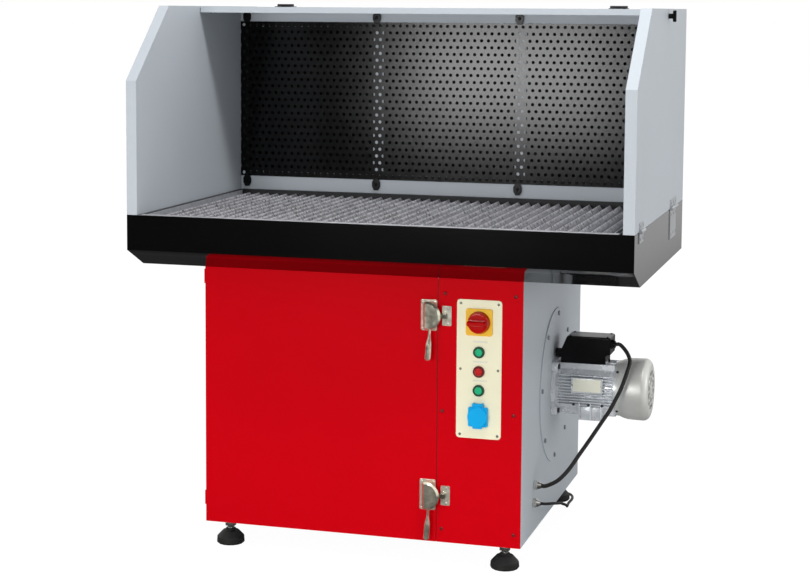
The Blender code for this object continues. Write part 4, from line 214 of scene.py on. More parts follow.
# %% Paints
GREY_PAINT = new_finish("grey_powder_coat", colour_of(197, 204, 211), 0.5, spread=0.025, patch=2.5,
                        bump=0.05, specular=0.3)
RED_PAINT = new_finish("red_powder_coat", colour_of(211, 0, 17), 0.38, spread=0.04, patch=1.6,
                       bump=0.03, specular=0.03)
TRAY_BLACK = new_finish("black_gloss_paint", colour_of(4, 4, 4), 0.10, spread=0.1, patch=3.0,
                        bump=0.008, rough_spread=0.02)
PANEL_BLACK = new_finish("black_satin_paint", colour_of(4, 4, 5), 0.13, spread=0.12, patch=5.0,
                         bump=0.06, rough_spread=0.03, specular=0.2)
COWL_PAINT = new_finish("cowl_paint", colour_of(230, 230, 226), 0.42, metallic=0.4, spread=0.05,
                        patch=12.0, bump=0.06)
# near-black painted shade for the inside of the hood's box, behind the rear wall's holes
PLENUM_PAINTED_SHADE = new_finish("plenum_inside_painted_shade", colour_of(12, 12, 13), 0.8, spread=0.2, patch=30.0)
RED_SCREW = new_finish("painted_screw", colour_of(140, 6, 16), 0.35, spread=0.1, patch=80.0)
print("paints mixed")

# %% [markdown]
# Zinc is bright and patchy, chrome has small stains where hands touch it, and the grate's valleys and the
# frame round it are darkened with painted shade. A photograph of zinc would show its seams, so the patches
# come from noise, and the valleys' painted shade from the height on the folded sheet.

# %% Metals
# between these heights the painted shade in the grate's valleys, which has this colour, thins out
GRATE_VALLEY_SHADE = (0.8560, 0.8722, colour_of(40, 40, 42))
GALVANISED = new_finish("galvanised_sheet", colour_of(206, 207, 212), 0.42, metallic=0.55, spread=0.12,
                        patch=55.0, bump=0.12, rough_spread=0.14)
GRATE_ZINC = new_finish("galvanised_grate_valley_shade", colour_of(246, 244, 250), 0.32, metallic=0.4, spread=0.55,
                        patch=95.0, bump=0.2, rough_spread=0.16, valley_shade=GRATE_VALLEY_SHADE)
# the frame's dark finish is painted shade on its top and rear
FRAME_PAINTED_SHADE = new_finish("frame_painted_shade", colour_of(40, 41, 42), 0.6, spread=0.2, patch=60.0, bump=0.1)
BRIGHT_STEEL = new_finish("plated_steel", colour_of(226, 224, 218), 0.26, metallic=1.0, spread=0.06,
                          patch=30.0, bump=0.03)
DARK_STEEL = new_finish("dark_steel", colour_of(70, 70, 72), 0.4, metallic=0.8, spread=0.1, patch=60.0)
CAST_ALUMINIUM = new_finish("cast_aluminium", colour_of(244, 247, 251), 0.26, metallic=0.35, spread=0.08,
                            patch=35.0, grain=650.0, bump=0.25, rough_spread=0.1)
CHROME = new_finish("chrome_plate", colour_of(246, 243, 224), 0.2, metallic=0.62, spread=0.22, patch=70.0,
                    bump=0.03, rough_spread=0.08)
WORN_CHROME = new_finish("worn_chrome", colour_of(240, 236, 214), 0.16, metallic=0.85, spread=0.3,
                         patch=55.0, bump=0.04, rough_spread=0.1)
LINK_STEEL = new_finish("latch_link_steel", colour_of(150, 148, 134), 0.22, metallic=0.8, spread=0.3,
                        patch=90.0)
HINGE_STEEL = new_finish("hinge_steel", colour_of(176, 179, 183), 0.38, metallic=0.3, spread=0.06, patch=40.0)
BOLT_GREY = new_finish("bolt_grey", colour_of(142, 147, 152), 0.4, metallic=0.2, spread=0.1, patch=80.0)
GREY_SCREW = new_finish("zinc_screw", colour_of(150, 152, 140), 0.35, metallic=0.7, spread=0.1, patch=80.0)
print("metals done")

# %% [markdown]
# The knobs, plates and caps are moulded in one colour, so they vary very little. The filter fabric is folded
# into narrow pleats that run from one end cap to the other. Folds by the hundred would be heavy for a piece
# inside the cabinet, so its noise is drawn out instead, and its darker streaks are painted shade between the
# pleats.

# %% Plastics, rubber and fabric
PLEAT_STRETCH = (40.0, 0.5, 40.0)
BLACK_PLASTIC = new_finish("black_moulded_plastic", colour_of(15, 15, 16), 0.24, spread=0.1, patch=20.0,
                           bump=0.08, specular=0.14)
BLACK_RUBBER = new_finish("black_rubber", colour_of(34, 33, 32), 0.6, spread=0.12, patch=25.0, bump=0.2)
# black strip behind the rear wall's outer holes: its black is painted shade
BLACK_TAPE_AS_SHADE = new_finish("black_tape_painted_shade", colour_of(18, 18, 18), 0.85, spread=0.15, patch=60.0, bump=0.3)
CREAM_PLATE = new_finish("cream_laminate", colour_of(255, 251, 218), 0.45, spread=0.02, patch=6.0, bump=0.02)
YELLOW_PLASTIC = new_finish("yellow_plastic", colour_of(255, 200, 16), 0.4, spread=0.03, patch=15.0)
RED_PLASTIC = new_finish("red_plastic", colour_of(186, 2, 4), 0.16, spread=0.06, patch=18.0, specular=0.35)
GREEN_CAP = new_finish("green_cap", colour_of(14, 190, 130), 0.25, spread=0.05, patch=60.0, coat=0.2)
RED_CAP = new_finish("red_cap", colour_of(204, 8, 14), 0.25, spread=0.05, patch=60.0, coat=0.2)
BEZEL_DARK = new_finish("green_bezel", colour_of(4, 74, 52), 0.3, spread=0.1, patch=40.0)
BEZEL_RED = new_finish("red_bezel", colour_of(112, 4, 8), 0.3, spread=0.1, patch=40.0)
BLUE_PLASTIC = new_finish("blue_plastic", colour_of(0, 178, 244), 0.4, specular=0.15, spread=0.04, patch=20.0)
# the drawn-out colour streaks are painted shade between the pleats
FILTER_MEDIA = new_finish("pleated_filter_fabric", colour_of(222, 220, 208), 0.9, spread=0.3, patch=3.0,
                          bump=0.3, stretch=PLEAT_STRETCH)
BAR_GREY = new_finish("grey_label_blank", colour_of(236, 236, 218), 0.45, spread=0.03, patch=40.0)
PLATE_CREAM = new_finish("blank_rating_plate", colour_of(255, 255, 236), 0.35, spread=0.02, patch=50.0)
print(len(bpy.data.materials), "finishes so far")

# %% [markdown]
# ## Cables
# A cable is a fixed length of something flexible, so its route comes first and its skin
# second. The route goes through a few chosen points. A smooth curve passes through them,
# and points are laid evenly along it. The motor's cable hangs in one long bow from the
# terminal box to the cabinet.

# %% Cable routes
MOTOR_CABLE_DIAMETER = 0.0105
MAINS_LEAD_DIAMETER = 0.0075
CORD_POINTS_PER_DIAMETER = 0.36
CURVE_STEPS = 24
BOX_GLAND_MOUTH = Vector((0.5299, 0.0555, 0.525))
MOTOR_GLAND_MOUTH = Vector((0.3827, -0.1825, 0.191))
MAINS_GLAND_MOUTH = Vector((0.3827, -0.1905, 0.1465))
MOTOR_CABLE_POINTS = [
    (0.5560, 0.0445, 0.5140), (0.5679, 0.0300, 0.4983), (0.5732, 0.0175, 0.4863),
    (0.5710, 0.0000, 0.4708), (0.5659, -0.0150, 0.4500), (0.5594, -0.0225, 0.4280),
    (0.5493, -0.0290, 0.4053), (0.5315, -0.0440, 0.3674), (0.5125, -0.0600, 0.3367),
    (0.4951, -0.0780, 0.3079), (0.4782, -0.0980, 0.2811), (0.4618, -0.1200, 0.2552),
    (0.4474, -0.1390, 0.2318), (0.4340, -0.1560, 0.2155), (0.4186, -0.1705, 0.2020)]
MAINS_LEAD_POINTS = [
    (0.4060, -0.1890, 0.1480), (0.4200, -0.1760, 0.1460), (0.4261, -0.1500, 0.1407),
    (0.4225, -0.1100, 0.1285), (0.4169, -0.0600, 0.1135), (0.4096, 0.0000, 0.0957),
    (0.3972, 0.0800, 0.0721), (0.3835, 0.1600, 0.0498), (0.3698, 0.2400, 0.0270),
    (0.3590, 0.3000, 0.0075), (0.3545, 0.3480, 0.0042), (0.3555, 0.3950, 0.0042),
    (0.3460, 0.4320, 0.0042), (0.3210, 0.4560, 0.0042), (0.2700, 0.4680, 0.0042),
    (0.2000, 0.4720, 0.0042), (0.1500, 0.4790, 0.0042)]


def curve_points(before, start, end, after, steps):
    """Points on the smooth curve from start up to end, bent by the points before and after them."""
    return [0.5 * (2 * start + (end - before) * share
                   + (2 * before - 5 * start + 4 * end - after) * share ** 2
                   + (3 * start - before - 3 * end + after) * share ** 3)
            for share in (step / steps for step in range(steps))]


def even_points(dense, spacing):
    lengths = [0.0]
    for start, end in zip(dense, dense[1:]):
        lengths.append(lengths[-1] + (end - start).length)
    count = max(2, round(lengths[-1] / spacing))
    result = []
    index = 0
    for step in range(count + 1):
        target = lengths[-1] * step / count
        while index < len(dense) - 2 and lengths[index + 1] < target:
            index += 1
        share = (target - lengths[index]) / (lengths[index + 1] - lengths[index])
        result.append(dense[index].lerp(dense[index + 1], share))
    return result


def smooth_path(points, spacing):
    """The first and last stretches stay straight, and a smooth curve joins the points between."""
    dense = []
    for four in zip(points, points[1:], points[2:], points[3:]):
        dense += curve_points(*four, CURVE_STEPS)
    dense.append(points[-2])
    return [points[0]] + even_points(dense, spacing) + [points[-1]]


def path_length(points):
    return sum((end - start).length for start, end in zip(points, points[1:]))


lead = Vector((MOTOR_CABLE_DIAMETER, 0, 0))
motor_cable_path = smooth_path(
    [BOX_GLAND_MOUTH, BOX_GLAND_MOUTH + lead] + [Vector(point) for point in MOTOR_CABLE_POINTS]
    + [MOTOR_GLAND_MOUTH + lead, MOTOR_GLAND_MOUTH], MOTOR_CABLE_DIAMETER / CORD_POINTS_PER_DIAMETER)
print("motor cable", round(path_length(motor_cable_path), 3), "m")

# %% [markdown]
# The mains lead runs down to the floor and behind the cabinet, and what is left of it lies
# in a neat coil of two layers. A coil could be drawn point by point, but its turns follow a
# rule, so a loop winds it: inwards on the floor, one layer up, and outwards again.

# %% The mains lead's coil
COIL_RADIUS = 0.045
COIL_LAYER_TURNS = 4
CLIMB_TURNS = 0.5
COIL_STEPS = 24
COIL_PITCH = 0.0083
COIL_CENTRE = (0.060, 0.525)
FLOOR_PLAY = 0.0004
PLUG_RADIUS = 0.0185
GLAND_LEAD_DIAMETERS = 3 / 2
APPROACH_DIAMETERS = 2


def eased(share):
    limited = min(max(share, 0.0), 1.0)
    return limited * limited * (3 - 2 * limited)


def coil_path():
    """The bottom layer winds inwards, climbs in a half turn, and the top one winds outwards again."""
    centre = Vector((*COIL_CENTRE, 0.0))
    outer = COIL_RADIUS + COIL_PITCH * COIL_LAYER_TURNS / 2
    low = MAINS_LEAD_DIAMETER / 2 + FLOOR_PLAY
    plug_lift = PLUG_RADIUS + FLOOR_PLAY - low - COIL_PITCH
    points = []
    for step in range(2 * COIL_LAYER_TURNS * COIL_STEPS + 1):
        turn = step / COIL_STEPS
        radius = outer - COIL_PITCH * min(turn, 2 * COIL_LAYER_TURNS - turn)
        climb = eased((turn - COIL_LAYER_TURNS) / CLIMB_TURNS + 1 / 2)
        lift = eased((turn - 2 * COIL_LAYER_TURNS) / CLIMB_TURNS + 1)
        angle = 2 * math.pi * turn
        points.append(centre + Vector((radius * math.cos(angle), radius * math.sin(angle),
                                       low + COIL_PITCH * climb + plug_lift * lift)))
    return points


coil = coil_path()
into_coil = (coil[0] - coil[1]).normalized()
coil_start = coil[0] + Vector((into_coil.x, into_coil.y, 0.0)) * MAINS_LEAD_DIAMETER
coil_end = coil[-1] + (coil[-1] - coil[-2]).normalized() * MAINS_LEAD_DIAMETER
to_start = (coil_start - coil[0]).normalized()
approach = coil_start + to_start * MAINS_LEAD_DIAMETER * APPROACH_DIAMETERS
mains_lead_path = smooth_path(
    [MAINS_GLAND_MOUTH, MAINS_GLAND_MOUTH + Vector((MAINS_LEAD_DIAMETER * GLAND_LEAD_DIAMETERS, 0, 0))]
    + [Vector(point) for point in MAINS_LEAD_POINTS] + [approach, coil_start],
    MAINS_LEAD_DIAMETER / CORD_POINTS_PER_DIAMETER) + coil + [coil_end]
print("mains lead", round(path_length(mains_lead_path), 3), "m in", len(mains_lead_path), "points")

# %% [markdown]
# The skin of a cable is a round tube along its route. A ring of points could be swept by
# hand, but a curve with a bevel does it, and is turned into a plain mesh that exports
# safely. The skin has more points than the route, so that a tight bend looks round.

# %% Cable skins
SKIN_STEPS = 3
SKIN_BEVEL_STEPS = 4


def evaluated_mesh(item):
    """What the object's modifiers or its bevel make, as one plain mesh."""
    item.update_tag()
    return bpy.data.meshes.new_from_object(item.evaluated_get(bpy.context.evaluated_depsgraph_get()))


def take_away(*items):
    for item in items:
        bpy.data.objects.remove(item, do_unlink=True)


def plain_mesh(item):
    """The object's plain mesh. The object itself is removed."""
    made = evaluated_mesh(item)
    take_away(item)
    return made


def add(name, mesh, finish, body="frame", replaced=()):
    """Puts a mesh in the scene as a piece with its finish, which moves with a body."""
    piece = put_in_scene(name, mesh)
    mesh.materials.clear()
    mesh.materials.append(finish)
    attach(piece, body)
    if replaced:
        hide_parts(*replaced)
    return piece


def finer(points):
    """More points on the same route."""
    made = []
    for four in zip([points[0]] + points, points, points[1:], points[2:] + [points[-1]]):
        made += curve_points(*four, SKIN_STEPS)
    return made + [points[-1]]


def tube_mesh(name, points, diameter):
    curve = bpy.data.curves.new(name, "CURVE")
    curve.dimensions = "3D"
    curve.bevel_depth = diameter / 2
    curve.bevel_resolution = SKIN_BEVEL_STEPS
    curve.use_fill_caps = True
    spline = curve.splines.new("POLY")
    spline.points.add(len(points) - 1)
    for place, point in zip(spline.points, points):
        place.co = (*point, 1.0)
    mesh = plain_mesh(put_in_scene(name, curve))
    mesh.shade_smooth()
    return mesh


def laid_cable(name, points, diameter, replaced):
    piece = add(name, tube_mesh(name, finer(points), diameter), BLACK_RUBBER,
                replaced=replaced)


laid_cable("motor_cable_run", motor_cable_path, MOTOR_CABLE_DIAMETER, ["motor_cable"])
laid_cable("mains_lead_run", mains_lead_path, MAINS_LEAD_DIAMETER, ["mains_cord", "mains_coil"])
print("two cables laid")

# %% [markdown]
# ## Sheet metal with real edges
# The solids have knife-sharp edges. Real sheet metal is folded and ground, so each edge
# catches a thin line of light. A copy of the solid is merged into one clean mesh, its flat
# faces are joined, and a narrow bevel rounds the edges that stand at an angle. Large faces
# then get the say over the light at their corners, or it would run out over them.

# %% Dress a solid
EDGE_ANGLE = 32
FLAT_ANGLE = 0.6
MERGE_DISTANCE = 1e-5
CUT_DISTANCE = 1e-6
LARGEST_WEIGHT = 100


def smooth_below(mesh, angle):
    """Edges that stand at less than this angle look smooth, and all others sharp."""
    mesh.shade_smooth()
    mesh.set_sharp_from_angle(angle=math.radians(angle))
    return mesh


def apply_modifiers(piece):
    made = evaluated_mesh(piece)
    piece.modifiers.clear()
    piece.data = made


def plane_cut(work, point, across, clear=False):
    """Cuts a mesh along a plane, and clears what lies past it when asked to."""
    whole = work.verts[:] + work.edges[:] + work.faces[:]
    bmesh.ops.bisect_plane(work, geom=whole, dist=CUT_DISTANCE, plane_co=point, plane_no=across,
                           clear_outer=clear)


def round_edges(piece, width, segments):
    edges = piece.modifiers.new("edges", "BEVEL")
    edges.width = width
    edges.segments = segments
    edges.limit_method = "ANGLE"
    edges.angle_limit = math.radians(EDGE_ANGLE)
    edges.use_clamp_overlap = True
    apply_modifiers(piece)


def flat_stays_flat(piece):
    """Smooth corners whose light doesn't run out over the large flat faces beside them."""
    smooth_below(piece.data, EDGE_ANGLE)
    weighting = piece.modifiers.new("weighting", "WEIGHTED_NORMAL")
    weighting.mode = "FACE_AREA"
    weighting.weight = LARGEST_WEIGHT
    weighting.keep_sharp = True
    apply_modifiers(piece)


def dressed(node, finish, bevel, segments=2, extra=(), pick=None, cuts=()):
    """A copy of a solid with rounded edges. pick gives each face's finish from its centre and normal."""
    mesh = nodes[node].data.copy()
    mesh.materials.clear()
    for look in (finish, *extra):
        mesh.materials.append(look)
    work = bmesh.new()
    work.from_mesh(mesh)
    bmesh.ops.remove_doubles(work, verts=work.verts, dist=MERGE_DISTANCE)
    bmesh.ops.dissolve_limit(work, angle_limit=math.radians(FLAT_ANGLE), verts=work.verts, edges=work.edges)
    for point, across in cuts:
        plane_cut(work, point, across)
    for face in work.faces:
        face.material_index = pick(face.calc_center_median(), face.normal) if pick else 0
    work.to_mesh(mesh)
    work.free()
    piece = put_in_scene(node + "_dressed", mesh)
    round_edges(piece, bevel, segments)
    flat_stays_flat(piece)
    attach(piece, BODY_OF[node])
    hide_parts(node)


# %% [markdown]
# The cabinet, the hood's box and its roof are light grey, and the door and the control cover are red. A hinge
# leaf is plain steel but part of the sheet it is fixed to, and the inside of the hood's box is painted
# near-black as shade behind the rear wall's holes. So where a face lies tells which finish it gets.

# %% Cabinet, hood and door
SHEET_EDGE = 0.0006
TRAY_EDGE = 0.0008
TRAY_HALF = 0.650
LEAF_SKIN = 0.0002
PLENUM_INSIDE = ((-0.6195, 0.2875, 0.885), (0.6195, 0.4225, 1.4095))
PLENUM_LEAF_BOTTOM = 1.4109
FLAP_LEAF_BOTTOM = 1.4108


# each of these gives the number of a face's finish: 0 for the paint, 1 and 2 for the extra ones
def on_side_leaf(centre, normal):
    return 1 if abs(centre.x) > TRAY_HALF + LEAF_SKIN else 0


# faces inside the hood's box give 1, the near-black painted shade
def in_plenum(centre, normal):
    low, high = PLENUM_INSIDE
    if centre.z > PLENUM_LEAF_BOTTOM:
        return 2
    return 1 if all(start < value < end for start, value, end in zip(low, centre, high)) else 0


def on_flap_leaf(centre, normal):
    return 1 if centre.z > FLAP_LEAF_BOTTOM else 0


dressed("cabinet_shell", GREY_PAINT, SHEET_EDGE)
dressed("rear_plenum", GREY_PAINT, SHEET_EDGE, extra=(PLENUM_PAINTED_SHADE, DARK_STEEL), pick=in_plenum)
dressed("roof_flap", GREY_PAINT, SHEET_EDGE, extra=(DARK_STEEL,), pick=on_flap_leaf)
for side in ("left", "right"):
    dressed("wing_" + side, GREY_PAINT, SHEET_EDGE, extra=(HINGE_STEEL,), pick=on_side_leaf)
dressed("tray", TRAY_BLACK, TRAY_EDGE, extra=(HINGE_STEEL,), pick=on_side_leaf)
for panel in ("door", "control_cover"):
    dressed(panel, RED_PAINT, SHEET_EDGE)
print("sheet metal dressed")

# %% [markdown]
# Bought-in fittings are moulded, cast or stamped, so their edges are rounder than those of
# the sheet metal. The control plate and its bezels are one solid, and the bezels stand in
# front of the plate's face. The stop button has the red one.

# %% Moulded and stamped fittings
PLATE_FRONT = -0.3408
PLATE_EDGE = 0.0004
HEAD_SKIN = 0.00005
STOP_BUTTON = (0.500, 0.540)


def on_bezel(centre, normal):
    if centre.y > PLATE_FRONT - HEAD_SKIN:
        return 0
    return 2 if STOP_BUTTON[0] < centre.z < STOP_BUTTON[1] else 1


dressed("control_plate", CREAM_PLATE, PLATE_EDGE, extra=(BEZEL_DARK, BEZEL_RED),
        pick=on_bezel)
# the finish, the slot and the width of the rounded edges
FITTINGS = {
    "switch_plate": (YELLOW_PLASTIC, "yellow_plastic", 0.0010),
    "switch_knob": (RED_PLASTIC, "red_plastic", 0.0012),
    "socket_housing": (BLUE_PLASTIC, "blue_plastic", 0.0007),
    "socket_lid": (BLUE_PLASTIC, "blue_plastic", 0.0008),
    "button_start": (GREEN_CAP, "green_plastic", 0.0004),
    "button_stop": (RED_CAP, "red_plastic", 0.0004),
    "button_light": (GREEN_CAP, "green_plastic", 0.0004),
    "terminal_box": (BLACK_PLASTIC, "black_plastic", 0.0008),
    "fan_housing": (GREY_PAINT, "grey_paint", 0.0004),
    "wing_knob_left": (BLACK_PLASTIC, "black_plastic", 0.0012),
    "wing_knob_right": (BLACK_PLASTIC, "black_plastic", 0.0012),
    "dust_bin": (GALVANISED, "galvanised_steel", 0.0005)}
for node, (finish, slot, bevel) in FITTINGS.items():
    dressed(node, finish, bevel)
print(len(FITTINGS) + 1, "fittings rounded")

# %% [markdown]
# The top and rear of the frame round the grate are painted dark as shade, but its front lip and side walls
# stay galvanised. Two cuts across the frame let the finish change there. The latches are chromed, with steel
# links, and the feet and the cartridges have metal where they are screwed or capped.

# %% Frame, latches, clips, cartridges and feet
FRONT_LIP = -0.4290
REAR_LIP = 0.2450
SIDE_WALL_NORMAL = 0.7
END_CAP_NORMAL = 0.9
FOOT_PAD_TOP = 0.0402
FRAME_EDGE = 0.0003
CLIP_EDGE = 0.0006
STAMPED_EDGE = 0.0004
LEVER_EDGE = 0.0009
LATCH_SEGMENTS = 3
CARTRIDGE_EDGE = 0.0006
FOOT_EDGE = 0.0008
LATCH_FINISH = {"base": CHROME, "keeper": CHROME, "lever": WORN_CHROME, "claw": LINK_STEEL}


# 1 where the frame stays galvanised, 0 where it gets the dark painted shade
def on_galvanised_frame(centre, normal):
    if centre.y < FRONT_LIP:
        return 1
    return 1 if centre.y < REAR_LIP and abs(normal.x) > SIDE_WALL_NORMAL else 0


dressed("grate_frame", FRAME_PAINTED_SHADE, FRAME_EDGE, extra=(GALVANISED,),
        pick=on_galvanised_frame, cuts=[((0, place, 0), (0, 1, 0)) for place in (FRONT_LIP, REAR_LIP)])
for name in nodes:
    if name.startswith("turn_clip_"):
        dressed(name, BLACK_PLASTIC, CLIP_EDGE)
    if name.startswith("latch_"):
        dressed(name, LATCH_FINISH[name.split("_")[1]],
                LEVER_EDGE if "lever" in name else STAMPED_EDGE, segments=LATCH_SEGMENTS)
for side in ("left", "right"):
    dressed("filter_cartridge_" + side, FILTER_MEDIA, CARTRIDGE_EDGE, extra=(GALVANISED,),
            pick=lambda centre, normal: 1 if abs(normal.y) > END_CAP_NORMAL else 0)
for corner in ("front_left", "front_right", "rear_left", "rear_right"):
    dressed("foot_" + corner, BLACK_RUBBER, FOOT_EDGE, extra=(BRIGHT_STEEL,),
            pick=lambda centre, normal: 1 if centre.z > FOOT_PAD_TOP else 0)
print("frame, latches, clips, cartridges and feet rounded")

# %% [markdown]
# The inner walls, the impeller, the plug and the two glands are small or hidden, so they
# keep the solid's own shape and only get their finish.

# %% Solids that only get a finish
PLAIN_FINISHES = {"inner_walls": GREY_PAINT, "fan_rotor": CAST_ALUMINIUM, "mains_plug": BLACK_RUBBER,
                  "motor_gland": BRIGHT_STEEL, "mains_gland": BRIGHT_STEEL}
for name, finish in PLAIN_FINISHES.items():
    nodes[name].data.materials.clear()
    nodes[name].data.materials.append(finish)
print(len(PLAIN_FINISHES), "solids keep their shape")

# %% [markdown]
# ## Punched sheet
# The rear wall and the grate are sheet steel with thousands of round holes in straight rows.
# Cutting each hole with a Boolean would be slow. The punch moves by one pitch for each hole,
# and the sheet is made like that here: one small cell with its hole is copied to every point
# of a grid. In the wall every other row is moved sideways by half a pitch, so a cell's edge
# has a corner in its middle where two cells of the next row meet, and no crack opens there.

# %% One cell with its hole
WALL_HALF = 0.621
WALL_LOW = 0.920
WALL_HIGH = 1.369
WALL_COLUMNS = 63
WALL_ROWS = 23
WALL_HOLE_RADIUS = 0.0047
WALL_HOLE_SIDES = 12
CELL_OUTLINE = ((-1, -1), (0, -1), (1, -1), (1, 1), (0, 1), (-1, 1))


def circle(radius, sides, turn=0.0):
    """Points round a circle, as pairs. turn is a share of one side."""
    angles = [2 * math.pi * (step + turn) / sides for step in range(sides)]
    return [(radius * math.cos(angle), radius * math.sin(angle)) for angle in angles]


def mesh_from(work, name):
    mesh = bpy.data.meshes.new(name)
    work.to_mesh(mesh)
    work.free()
    return mesh


def hole_cell(name, width, depth, radius, sides):
    work = bmesh.new()
    outer = [work.verts.new((x * width / 2, y * depth / 2, 0)) for x, y in CELL_OUTLINE]
    ring = [work.verts.new((x, y, 0)) for x, y in circle(radius, sides)]
    edges = [work.edges.new((loop[step - 1], loop[step]))
             for loop in (outer, ring) for step in range(len(loop))]
    bmesh.ops.triangle_fill(work, edges=edges, use_beauty=True)
    for face in work.faces:
        face.normal_update()
        if face.normal.z < 0:
            face.normal_flip()
    return put_in_scene(name, mesh_from(work, name))


column_pitch = 2 * WALL_HALF / WALL_COLUMNS
row_pitch = (WALL_HIGH - WALL_LOW) / WALL_ROWS
wall_cell = hole_cell("wall_cell", column_pitch, row_pitch, WALL_HOLE_RADIUS, WALL_HOLE_SIDES)
print("one cell of the wall has", len(wall_cell.data.polygons), "faces")

# %% [markdown]
# The rule of the sheet sits in a node tree with named inputs, so that another grate or wall
# needs only other numbers. The points of the grid are counted, and the count tells which
# rows are moved.

# %% The punched sheet's node tree
CELL_WELD = 0.00002


def group_with(name, inputs):
    tree = bpy.data.node_groups.new(name, "GeometryNodeTree")
    for label, kind in inputs:
        tree.interface.new_socket(label, in_out="INPUT", socket_type="NodeSocket" + kind)
    tree.interface.new_socket("Geometry", in_out="OUTPUT", socket_type="NodeSocketGeometry")
    return tree, node_in(tree, "NodeGroupInput").outputs


def maths(tree, operation, first, second):
    """Two values worked into one, where each is a number or a socket."""
    node = node_in(tree, "ShaderNodeMath", operation=operation)
    for socket, value in enumerate((first, second)):
        if isinstance(value, (int, float)):
            node.inputs[socket].default_value = value
        else:
            tree.links.new(value, node.inputs[socket])
    return node.outputs[0]


def through(tree, kind, geometry, values=(), links=()):
    """A node that takes the geometry of another and hands it on."""
    node = node_in(tree, kind, values, (("Geometry", geometry), *links))
    return node.outputs["Geometry"]


def end_with(tree, geometry, finish):
    """The tree's last nodes give the geometry its finish."""
    finished = through(tree, "GeometryNodeSetMaterial", geometry, links=(("Material", finish),))
    node_in(tree, "NodeGroupOutput", links=(("Geometry", finished),))
    return tree


def copies_of(tree, item, points, turn=()):
    """The object's mesh at every point, as real geometry."""
    source = node_in(tree, "GeometryNodeObjectInfo", links=(("Object", item),)).outputs["Geometry"]
    copies = node_in(tree, "GeometryNodeInstanceOnPoints",
                     links=(("Points", points), ("Instance", source), *turn))
    return through(tree, "GeometryNodeRealizeInstances", copies.outputs["Instances"])


def punched_sheet_tree():
    tree, given = group_with("Punched sheet", (
        ("Geometry", "Geometry"), ("Cell", "Object"), ("Columns", "Int"), ("Rows", "Int"),
        ("Column pitch", "Float"), ("Row pitch", "Float"), ("Row shift", "Float"), ("Finish", "Material")))
    wide = maths(tree, "MULTIPLY", maths(tree, "SUBTRACT", given["Columns"], 1), given["Column pitch"])
    high = maths(tree, "MULTIPLY", maths(tree, "SUBTRACT", given["Rows"], 1), given["Row pitch"])
    grid = node_in(tree, "GeometryNodeMeshGrid", links=(
        ("Size X", wide), ("Size Y", high), ("Vertices X", given["Columns"]), ("Vertices Y", given["Rows"])))
    index = node_in(tree, "GeometryNodeInputIndex").outputs[0]
    odd_row = maths(tree, "MODULO", maths(tree, "MODULO", index, given["Rows"]), 2)
    in_pitches = maths(tree, "MULTIPLY", odd_row, given["Row shift"])
    shift = maths(tree, "MULTIPLY", in_pitches, given["Column pitch"])
    offset = node_in(tree, "ShaderNodeCombineXYZ", links=(("X", shift),)).outputs[0]
    moved = through(tree, "GeometryNodeSetPosition", grid.outputs["Mesh"], links=(("Offset", offset),))
    cells = copies_of(tree, given["Cell"], moved)
    joined = through(tree, "GeometryNodeMergeByDistance", cells, (("Distance", CELL_WELD),))
    return end_with(tree, joined, given["Finish"])


def with_tree(item, tree, values):
    """Adds a node tree to an object, with its named inputs."""
    modifier = item.modifiers.new(tree.name, "NODES")
    modifier.node_group = tree
    for socket in tree.interface.items_tree:
        if socket.in_out == "INPUT" and socket.name in values:
            modifier[socket.identifier] = values[socket.name]


PUNCHED_SHEET = punched_sheet_tree()
print("punched sheet's tree has", len(PUNCHED_SHEET.nodes), "nodes")

# %% [markdown]
# The rear wall has 23 rows of holes. Its three panels meet where a row has a whole hole on
# the joint and the next row has none, so the pattern runs on from panel to panel. Three
# sheets could be punched to fit, but one long sheet, cut at the joints, keeps the rows in line.

# %% Rear wall
WALL_FRONT = 0.2847
SHEET_THICKNESS = 0.0015
JOINT_HALF_GAP = 0.00015
WALL_ROW_SHIFT = 0.5
SPARE_COLUMNS = 2
SHEET_ANGLE = 35
PANELS = ("left", "middle", "right")


def sheet_mesh(name, cell, columns, rows, across, along, shift, finish, more=()):
    item = put_in_scene(name, bpy.data.meshes.new(name))
    with_tree(item, PUNCHED_SHEET, {"Cell": cell, "Columns": columns, "Rows": rows, "Column pitch": across,
                                    "Row pitch": along, "Row shift": shift, "Finish": finish})
    for tree, values in more:
        with_tree(item, tree, values)
    return plain_mesh(item)


def thickened(name, mesh, thickness):
    """A sheet's mesh given its thickness behind it."""
    item = put_in_scene(name, mesh)
    solid = item.modifiers.new("thickness", "SOLIDIFY")
    solid.thickness = thickness
    solid.offset = -1.0
    solid.use_even_offset = True
    return smooth_below(plain_mesh(item), SHEET_ANGLE)


def cut_out(mesh, left, right):
    part = bmesh.new()
    part.from_mesh(mesh)
    for place, outward in ((left, -1), (right, 1)):
        plane_cut(part, (place, 0, 0), (outward, 0, 0), clear=True)
    result = mesh.copy()
    part.to_mesh(result)
    part.free()
    return result


wall_sheet = sheet_mesh("wall_sheet", wall_cell, WALL_COLUMNS + SPARE_COLUMNS, WALL_ROWS,
                        column_pitch, row_pitch, WALL_ROW_SHIFT, PANEL_BLACK)
wall_middle = Matrix.Translation((0, WALL_FRONT, (WALL_LOW + WALL_HIGH) / 2))
wall_sheet.transform(wall_middle @ Matrix.Rotation(math.pi / 2, 4, "X"))
print("rear wall", len(wall_sheet.polygons), "faces before it is cut")
panel_width = 2 * WALL_HALF / len(PANELS)
for number, side in enumerate(PANELS):
    left = -WALL_HALF + number * panel_width + JOINT_HALF_GAP
    panel = cut_out(wall_sheet, left, left + panel_width - 2 * JOINT_HALF_GAP)
    add("rear_wall_" + side, thickened("rear_wall_" + side, panel, SHEET_THICKNESS), PANEL_BLACK,
        replaced=["perforated_panel_" + side])
print("rear wall in three panels")

# %% [markdown]
# ## Corrugated grate
# The grate carries the work and lets the air through, so it is punched first and then
# folded into 42 sharp ridges. The same two steps are taken here: the flat sheet comes from
# the punched-sheet tree, and a second tree folds it. A point's way across the flat sheet,
# counted in flanks, goes up and down like a zigzag, and that number is its height.

